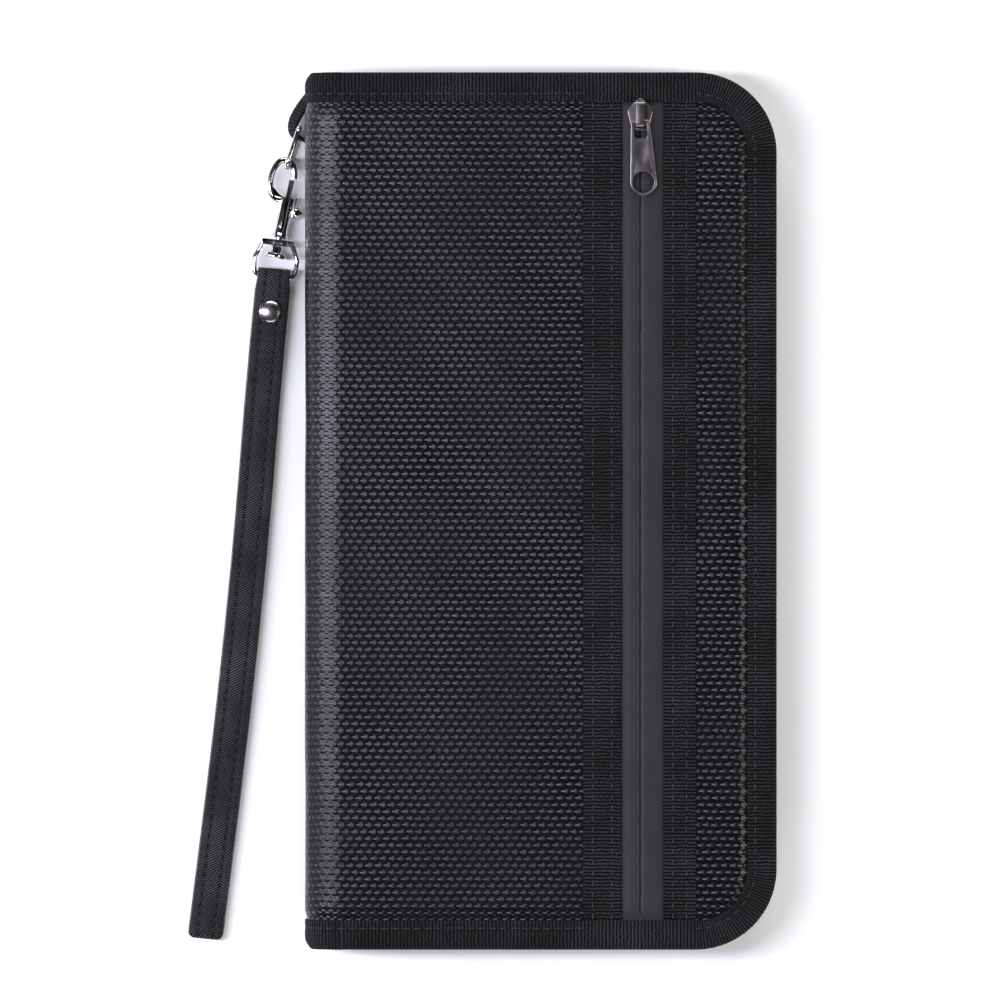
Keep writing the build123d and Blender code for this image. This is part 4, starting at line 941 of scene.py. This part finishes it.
def rivet_dome():
    """Domed cap of the strap rivet, turned about its own middle."""
    low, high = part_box("strap_rivet_cap")
    centre = np.array([(low.x + high.x) / 2, (low.y + high.y) / 2]) / MM
    radius, seat, top = (high.x - low.x) / 2 / MM, RIVET_SEAT, high.z / MM
    bulge = np.radians(np.linspace(0, 90, 10))
    edge = top - seat - 0.35
    profile = [(0.02, 0), (0.8 * radius, 0), (0.96 * radius, 0.08), (radius, 0.2)]
    profile += [(radius * math.cos(a), 0.35 + edge * math.sin(a)) for a in bulge[:-1]] + [(0.02, top - seat)]
    turn = np.radians(np.arange(0, 360, 7.5))
    rings = [
        [(centre[0] + r * math.cos(a), centre[1] + r * math.sin(a), seat + h) for a in turn]
        for r, h in profile
    ]
    mesh = sweep("rivet_dome", rings, distances(np.array(profile)), RIVET_METAL)
    finish_piece("rivet_dome", mesh, "strap", ("strap_rivet_cap",))


def hardware():
    for node, body in (
        ("pocket_slider_body", "pocket_slider"), ("pocket_puller", "pocket_pull"),
        ("closing_slider_body", "closing_slider"), ("closing_puller", "closing_pull"),
    ):
        metal_piece(node, body, GUNMETAL, 0.12)
    for node, body, edge in (
        ("d_ring", "ring", 0), ("hook_body", "hook", 0.08), ("hook_bolt", "bolt", 0.06),
        ("swivel_stud", "eye", 0.1), ("swivel_eye", "eye", 0.08),
    ):
        metal_piece(node, body, NICKEL, edge)
    rivet_dome()
    metal_piece("strap_rivet_back", "strap", RIVET_METAL, 0.05)


# ---------------------------------------------------------------- wrist strap
STRAP_BAR = np.array([-79.3839, 69.8638])
STRAP_LEAN = math.radians(5.6)
STRAP_DOWN = np.array([-math.sin(STRAP_LEAN), -math.cos(STRAP_LEAN)])
STRAP_SIDE = np.array([math.cos(STRAP_LEAN), -math.sin(STRAP_LEAN)])
STRAP_W, STRAP_T = 10.5, 1.24
STRAP_BAR_Z = 3.5
STRAP_BOW_AT = [-5, 20, 40, 61, 85, 110, 132, 156, 178, 190, 202]
STRAP_BOW = [0, 0, 0.15, 0.55, 0.8, 0.75, 0.5, 0.0, -0.6, -0.95, -1.25]


def smooth_line(corners, step=1.0, tightness=2):
    """Even points along a line whose corners are cut twice, then sampled by distance."""
    line = np.asarray(corners, float)
    for _ in range(tightness):
        near, far = line[:-1], line[1:]
        cut = np.stack([0.75 * near + 0.25 * far, 0.25 * near + 0.75 * far], 1).reshape(-1, line.shape[1])
        line = np.concatenate([line[:1], cut, line[-1:]])
    at = distances(line)
    want = np.linspace(0, at[-1], max(int(at[-1] / step), 2) + 1)
    return np.column_stack([np.interp(want, at, line[:, k]) for k in range(line.shape[1])]), want


def strap_place(t, w, z):
    """Point at distance t down the strap, w across it and height z."""
    bow = np.interp(t, STRAP_BOW_AT, STRAP_BOW)
    flat = STRAP_BAR + np.multiply.outer(t, STRAP_DOWN) + np.multiply.outer(w + bow, STRAP_SIDE)
    return np.concatenate([flat, np.reshape(z, (*np.shape(t), 1))], -1)


def strap_strip(name, line):
    """Strip of strap leather along a line of (t, z) points."""
    heading = headings(line)
    out = np.column_stack([-heading[:, 1], heading[:, 0]])
    half, thick = STRAP_W / 2, STRAP_T / 2
    section = np.array(
        [(-half + 0.35, 1), (-2.9, 1), (-2.55, 0.84), (-2.2, 1), (1.9, 1), (2.25, 0.84), (2.6, 1), (half - 0.35, 1),
         (half - 0.08, 0.72), (half, 0), (half - 0.08, -0.72), (half - 0.35, -1), (2.6, -1), (2.25, -0.84),
         (1.9, -1), (-2.2, -1), (-2.55, -0.84), (-2.9, -1), (-half + 0.35, -1), (-half + 0.08, -0.72), (-half, 0),
         (-half + 0.08, 0.72)]
    )
    rings = []
    for (t, z), n in zip(line, out):
        narrow = 1 - 0.075 * smooth_step(1 - t / 6.0)
        round_end = np.clip((t - 196.6) / 1.25, 0, 1)
        narrow *= (half - 1.6 * (1 - math.sqrt(max(1 - round_end**2, 0)))) / half
        h = section[:, 1] * thick
        rings.append(strap_place(t + h * n[0], section[:, 0] * narrow, z + h * n[1]))
    mesh = sweep(name, np.array(rings), distances(line), LEATHER)
    mesh.materials.append(EDGE_PAINT)
    painted = {7, 8, 9, 10, 18, 19, 20, 21}
    m = len(section)
    for index, face in enumerate(mesh.polygons):
        if index < (len(line) - 1) * m:
            face.material_index = 1 if index % m in painted else 0
        else:
            face.material_index = 1
    return mesh


def wrist_strap():
    z_tail, z_leaf, lap = 1.45, 0.75, 1.28
    z_upper = 2.65
    wrap = 1.75
    turn = np.radians(np.linspace(270, 90, 15))
    wrapped = np.column_stack([wrap * np.cos(turn), STRAP_BAR_Z + wrap * np.sin(turn)])
    z_under = STRAP_BAR_Z - wrap
    tail, _ = smooth_line([(17.0, z_tail), (8.0, z_tail), (5.0, z_tail), (2.2, z_under), (0, z_under)])
    head, _ = smooth_line(
        [(0, STRAP_BAR_Z + wrap), (1.4, STRAP_BAR_Z + wrap), (3.6, 4.7), (6.0, z_tail + 2 * lap), (10, z_tail + 2 * lap),
         (16.5, z_tail + 2 * lap), (24, 3.35), (31, z_upper), (40, z_upper), (80, z_upper + 0.1), (140, z_upper),
         (192, z_upper), (196.9, z_upper)], tightness=3,
    )
    end = np.radians(np.linspace(90, -90, 11))
    fold = np.column_stack([196.9 + 0.95 * np.cos(end), z_leaf + 0.95 + 0.95 * np.sin(end)])
    back, _ = smooth_line(
        [(196.9, z_leaf), (150, z_leaf), (60, z_leaf), (30.5, z_leaf), (28, 1.0),
         (20, z_tail + lap - 0.1), (16, z_tail + lap), (5.2, z_tail + lap)],
        tightness=3,
    )
    line = np.concatenate([tail, wrapped[1:-1], head, fold[1:-1], back])
    mesh = strap_strip("wrist_strap_leather", line)
    finish_piece("wrist_strap_leather", mesh, "strap", ("wrist_strap",))

    def height_on(t):
        return np.interp(t, head[:, 0], head[:, 1])

    rows = []
    for w in (-2.55, 2.25):
        t = np.linspace(1.0, 195.5, 120)
        rows.append(strap_place(t, np.full_like(t, w), height_on(t) + STRAP_T / 2 - 0.06))
        t = np.linspace(32, 195.5, 90)
        rows.append(strap_place(t, np.full_like(t, w), np.full_like(t, z_leaf - STRAP_T / 2 + 0.1)))
    w = np.linspace(-3.6, 3.6, 8)
    for t in (3.9, 15.4):
        rows.append(strap_place(np.full_like(w, t), w, np.full_like(w, float(height_on(t)) + STRAP_T / 2 - 0.02)))
    stitches("strap_stitches", rows, "strap", length=2.0, gap=0.9, radius=0.17)


# ---------------------------------------------------------------- loop tape and spring
def loop_tape():
    """Grosgrain loop from the binding's corner round the D-ring's bar, leaning so its face shows."""
    corners = [
        (-66.6, 127.0), (-68.6, 124.4), (-71.0, 120.3), (-73.6, 115.8), (-73.9, 113.0), (-72.9, 111.4),
        (-71.0, 110.9), (-69.6, 109.6), (-68.0, 108.6), (-66.2, 108.2),
    ]
    line, along = smooth_line(corners, 0.6, 3)
    rings = []
    for (x, y), (hx, hy), s in zip(line, headings(line), along / along[-1]):
        side = np.array([hy, -hx, 0.0])
        lean = math.radians(-28 * math.sin(math.pi * min(1, 1.25 * s)))
        wide = math.cos(lean) * np.array([0, 0, 1.0]) + math.sin(lean) * side
        flat = math.cos(lean) * side - math.sin(lean) * np.array([0, 0, 1.0])
        section = [(-3.2, 0), (-3.1, 0.38), (-2.8, 0.46), (0, 0.5), (2.8, 0.46), (3.1, 0.38), (3.2, 0),
                   (3.1, -0.38), (2.8, -0.46), (0, -0.5), (-2.8, -0.46), (-3.1, -0.38)]
        centre = np.array([x, y, 5.8])
        rings.append([centre + a * wide + h * flat for a, h in section])
    mesh = sweep("loop_tape", np.array(rings), along, GROSGRAIN)
    finish_piece("loop_tape", mesh, "back_half", ("strap_loop",))


HOOK_UP = np.array([math.sin(math.radians(12.5)), math.cos(math.radians(12.5)), 0.0])
HOOK_BASE = np.array([-77.8001, 81.3996, 3.5])


def spring_coils():
    """Wire spring in the barrel, made at one fixed length."""
    low, high, turns, radius, wire = 3.35, 7.05, 3, 0.92, 0.16
    angle = np.linspace(0, 2 * np.pi * turns, 16 * turns + 1)
    lift = np.interp(angle, [0, 4, angle[-1] - 4, angle[-1]], [low, low + 0.35, high - 0.35, high])
    side = np.array([HOOK_UP[1], -HOOK_UP[0], 0.0])
    rise = np.array([0, 0, 1.0])
    rings = []
    for a, u in zip(angle, lift):
        out = math.cos(a) * side + math.sin(a) * rise
        centre = HOOK_BASE + u * HOOK_UP + radius * out
        rings.append([
            centre + wire * (math.cos(b) * out + math.sin(b) * HOOK_UP)
            for b in np.linspace(0, 2 * np.pi, 7)[:-1]
        ])
    mesh = sweep("bolt_spring_coils", np.array(rings), angle * radius, SPRING_STEEL)
    piece = finish_piece("bolt_spring_coils", mesh, "hook", ("bolt_spring",))
    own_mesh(piece)


# ---------------------------------------------------------------- inside of the covers
def puff(x, y):
    """Slight fullness of the pockets inside a cover."""
    return 0.3 * (1 - np.clip((x + 2) / 64, -1, 1) ** 4) * (1 - np.clip(y / 122, -1, 1) ** 4)


def hash_name(name):
    return sum((i + 1) * ord(c) for i, c in enumerate(name))


def inner_leaf(
    name, x_start, x_end, y_low, y_high, z, thick, up, material, body, node,
    corner=0.0, mouth=False, soft=0.12,
):
    """Leaf of lining or pocket cloth. up is +1 on the back cover and -1 on the front cover."""
    y = np.unique(np.concatenate([
        np.linspace(y_low, y_high, max(int((y_high - y_low) / 4), 4) + 1),
        y_low + np.array([0.4, 1.0, 2.0, 3.5, 5.5, 8, 11]), y_high - np.array([0.4, 1.0, 2.0, 3.5, 5.5, 8, 11]),
    ]))
    share = np.concatenate([[0, 0.004, 0.01, 0.02, 0.04], np.linspace(0.07, 0.93, 24), [0.96, 0.98, 0.99, 0.996, 1]])
    end = x_end(y) if callable(x_end) else np.full_like(y, x_end)
    start = np.full_like(y, x_start)
    if corner:
        for edge in (y_low, y_high):
            near = np.clip(corner - np.abs(y - edge), 0, corner)
            cut = corner - np.sqrt(corner**2 - near**2)
            start, end = start + cut, end - cut
    x = start[:, None] + np.outer(end - start, share)
    grid_y = np.repeat(y[:, None], len(share), 1)
    seed = (hash_name(name) % 97) / 7.0
    folds = soft * (np.sin(x / 11.0 + seed + 0.5 * np.sin(grid_y / 23.0)) + np.sin(grid_y / 17.0 + 2 * seed))
    rim = np.minimum.reduce([x - start[:, None], end[:, None] - x, grid_y - y_low, y_high - grid_y])
    lift = puff(x, grid_y) + folds * smooth_step(rim / 6) * 0.5
    rounded = 0.5 * thick * (1 - smooth_step(rim / 0.6))
    if mouth:
        lift = lift + 0.25 * smooth_step(1 - (y_high - grid_y) / 18) * smooth_step(rim / 3 + 0.5)
    top = z + up * (thick + lift - rounded)
    low = z + up * (rounded * 0.2)
    place = np.stack([x, grid_y], -1)
    mesh = shell(name, grid(x, grid_y, top), grid(x, grid_y, low), place, material)
    piece = finish_piece(name, mesh, body, (node,))


def mouth_trim(name, x_low, x_high, y, z, up, body, width=5.0):
    """Narrow tape that binds a pocket's mouth, with its stitch row."""
    x = np.linspace(x_low, x_high, 40)
    lift = puff(x, np.full_like(x, y)) + 0.25
    section = np.array([(0.25, 0.0), (0.3, 0.2), (0.15, 0.36), (-0.3, 0.42), (-width + 1.6, 0.36), (-width + 1.2, 0.28),
                        (-width + 0.8, 0.36), (-width + 0.1, 0.3), (-width, 0.0)])
    rings = np.stack([
        np.repeat(x[:, None], len(section), 1),
        y + np.repeat(section[None, :, 0], len(x), 0),
        z + up * (lift[:, None] + section[None, :, 1] - 0.05),
    ], -1)
    finish_piece(name, sweep(name, rings, x, GROSGRAIN), body)
    return np.column_stack([x, np.full_like(x, y - width + 1.2), z + up * (lift + 0.27)])


def inside_back():
    lining_z, sheet = 3.9, 0.6
    inner_leaf("back_lining_cloth", -58.0, lambda y: open_end(y, 1.2), -128.8, 128.8, lining_z, 0.44,
               1, LINING, "back_half", "back_lining", soft=0.04)
    inner_leaf("document_pocket_cloth", -52.0, lambda y: open_end(y, 11.1), -118.9, 100.9, 4.4, sheet,
               1, POCKET, "back_half", "document_pocket", mouth=True)
    x_end = float(open_end(np.array(100.9), 11.1)) - 0.4
    rows = [mouth_trim("document_pocket_trim", -51.6, x_end, 100.9, 5.0, 1, "back_half")]
    for name in ("passport_pocket_lower", "passport_pocket_upper"):
        low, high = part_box(name)
        y_low, y_high = low.y / MM, high.y / MM
        inner_leaf(name + "_cloth", low.x / MM, high.x / MM, y_low, y_high, 5.0, sheet,
                   1, POCKET, "back_half", name, corner=3.0, mouth=True)
        trim = low.x / MM + 3, high.x / MM - 3
        rows.append(mouth_trim(name + "_trim", *trim, y_high, 5.6, 1, "back_half"))
        x0, x1 = low.x / MM + 1.5, high.x / MM - 1.5
        frame_line = [
            (x0, y_high - 6), (x0, y_low + 3), (x0 + 2, y_low + 1.5),
            (x1 - 2, y_low + 1.5), (x1, y_low + 3), (x1, y_high - 6),
        ]
        line, _ = smooth_line(frame_line, 3.0, 1)
        rows.append(np.column_stack([line, 5.66 + puff(line[:, 0], line[:, 1])]))
    stitches("back_pocket_stitches", rows, "back_half", length=1.9, gap=0.7, radius=0.15)


def inside_front():
    sheet = 0.6
    inner_leaf("front_lining_cloth", -58.0, lambda y: open_end(y, 1.2), -128.8, 128.8, 17.0, 0.44,
               -1, LINING, "front_half", "front_lining", soft=0.04)
    inner_leaf("slip_pocket_cloth", -52.0, lambda y: open_end(y, 11.1), -118.9, 118.9, 16.5, sheet, -1, POCKET,
               "front_half", "slip_pocket")
    rows = []
    z = 15.9
    for slot in range(1, 5):
        node = f"card_slot_{slot}"
        low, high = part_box(node)
        inner_leaf(node + "_cloth", low.x / MM, high.x / MM, low.y / MM, high.y / MM, z, sheet,
                   -1, POCKET, "front_half", node, mouth=True, soft=0.05)
        z -= sheet
        trim = low.x / MM + 0.4, high.x / MM - 0.4
        rows.append(mouth_trim(node + "_trim", *trim, high.y / MM, z, -1, "front_half", 3.6))
    low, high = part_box("card_slot_4")
    x0, x1, y0, y1 = low.x / MM + 1.5, high.x / MM - 1.5, low.y / MM + 1.5, high.y / MM - 5
    line, _ = smooth_line([(x0, y1), (x0, y0), (x1, y0), (x1, y1)], 3.0, 1)
    rows.append(np.column_stack([line, z - 0.06 - puff(line[:, 0], line[:, 1])]))
    stitches("card_slot_stitches", rows, "front_half", length=1.9, gap=0.7, radius=0.15)


def zip_ends():
    """Tail and end tab of the closing zip: woven and folded tape."""
    low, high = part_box("zip_tail")
    y = low.y / MM
    x = np.linspace(low.x / MM, high.x / MM, 12)
    section = np.array([(0.02, 0.0), (0.0, 2.5), (0.3, 2.8), (0.6, 2.5), (0.62, 2.0), (1.6, 1.9), (1.78, 1.0), (1.6, 0.1), (0.6, 0)])
    rings = np.stack([
        np.repeat(x[:, None], len(section), 1),
        y + np.repeat(section[None, :, 0], len(x), 0),
        low.z / MM + np.repeat(section[None, :, 1], len(x), 0),
    ], -1)
    mesh = sweep("zip_tail_tape", rings, x, ZIP_WEAVE)
    finish_piece("zip_tail_tape", mesh, "back_half", ("zip_tail",))
    low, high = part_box("zip_end_tab")
    x0, x1, y0, y1, z0, z1 = (v / MM for v in (low.x, high.x, low.y, high.y, low.z, high.z))
    corners = [
        (x1, z0), (x0 + 0.7, z0), (x0 + 0.1, z0 + 0.5), (x0, z0 + 1.2),
        (x0, z1 - 1.2), (x0 + 0.1, z1 - 0.5), (x0 + 0.7, z1), (x1, z1),
    ]
    ys = np.array([y0, y0 + 0.2, y1 - 0.2, y1])
    squeeze = np.array([0.9, 1.0, 1.0, 0.9])
    cx, cz = (x0 + x1) / 2, (z0 + z1) / 2
    rings = [[(cx + (a - cx) * k, yy, cz + (b - cz) * k) for a, b in corners] for yy, k in zip(ys, squeeze)]
    mesh = sweep("zip_end_fold", rings, ys, GROSGRAIN)
    finish_piece("zip_end_fold", mesh, "back_half", ("zip_end_tab",))


def hidden_layers():
    """Layers that stay closed inside the covers keep their CAD shape."""
    for node, material in (
        ("back_padding", FOAM), ("front_padding", FOAM), ("back_board", BOARD), ("front_board", BOARD),
        ("pocket_bag", LINING),
    ):
        nodes[node].data.materials.clear()
        nodes[node].data.materials.append(material)


# ---------------------------------------------------------------- room
SKY_LOW, SKY_HIGH = 0.55, 0.02


def room():
    bpy.ops.mesh.primitive_plane_add(size=12, location=(0, 0, -0.0002))
    floor = bpy.context.object
    floor.name = "floor"
    material, tree = new_material("Pale floor", {"Roughness": 0.9, "Specular IOR Level": 0.1})
    shade = noise(tree, object_place(tree), 3.0)
    wire(material, mix_colour(tree, shade, (0.93, 0.93, 0.93), (0.95, 0.95, 0.95)))
    floor.data.materials.append(material)

    world = bpy.data.worlds.new("Studio")
    bpy.context.scene.world = world
    world.use_nodes = True
    sky = world.node_tree
    toward = add_node(sky, "ShaderNodeTexCoord").outputs["Generated"]
    height = add_node(sky, "ShaderNodeSeparateXYZ", {"Vector": toward}).outputs["Z"]
    dome = ease(sky, height, 0.72, 0.96, SKY_LOW, SKY_HIGH)
    sky.links.new(dome, sky.nodes["Background"].inputs["Strength"])

    def softbox(name, place, size, power, tint=(1, 1, 1), aim=(0, 0, 0)):
        data = bpy.data.lights.new(name, "AREA")
        data.shape, data.size, data.size_y = "RECTANGLE", *size
        data.energy, data.color = power, tint
        lamp = bpy.data.objects.new(name, data)
        lamp.location = place
        lamp.rotation_mode = "QUATERNION"
        lamp.rotation_quaternion = (Vector(aim) - Vector(place)).to_track_quat("-Z", "Y")
        bpy.context.scene.collection.objects.link(lamp)

    softbox("left_bank", (-0.95, 0.05, 0.98), (0.2, 1.6), 28, (0.85, 0.86, 1.0))
    softbox("right_bank", (1.25, -0.2, 0.8), (0.4, 1.2), 15)
    softbox("top_bank", (0.1, 1.2, 0.9), (1.2, 0.4), 11)
    softbox("low_bank", (0, -1.3, 0.8), (1.2, 0.4), 7)


def overhead_camera():
    data = bpy.data.cameras.new("camera")
    camera = bpy.data.objects.new("camera", data)
    bpy.context.scene.collection.objects.link(camera)
    distance, width = 3.0, 0.29613
    data.sensor_width = 36
    data.lens = 18 * distance / (width / 2)
    data.clip_end = 50
    camera.location = (-0.01199, 0.00326, distance + THICKNESS * MM)
    bpy.context.scene.camera = camera
    view = bpy.context.scene.view_settings
    view.view_transform, view.look = "Standard", "None"


overhead_camera()
room()
outer_edge = open_end(cover_rows(Y_EDGE - 1.4), 1.4)
flat_panel("front_main_panel", X_FOLD, 17.3, "front_half", ("front_fabric_main",), 1)
flat_panel("front_side_panel", 41.6, outer_edge, "front_half", ("front_fabric_side",), 1)
flat_panel("back_panel", X_FOLD, outer_edge, "back_half", ("back_fabric",), -1)
spine_sheet()
cover_binding("front_binding_tape", 6.8, 1, "front_half")
cover_binding("back_binding_tape", 5.7, -1, "back_half")
spine_binding("spine_binding_top", 1)
spine_binding("spine_binding_bottom", -1)
for facing, (x_low, x_high) in FACINGS.items():
    zip_facing(facing, x_low, x_high)
zip_film("zip_film_left", -1)
zip_film("zip_film_right", 1)
pocket_chain()
binding_seams()
facing_seams()
closing_tape("closing_zip_tape_back", True)
closing_tape("closing_zip_tape_front", False)
zip_ends()
hardware()
wrist_strap()
loop_tape()
spring_coils()
inside_back()
inside_front()
hidden_layers()
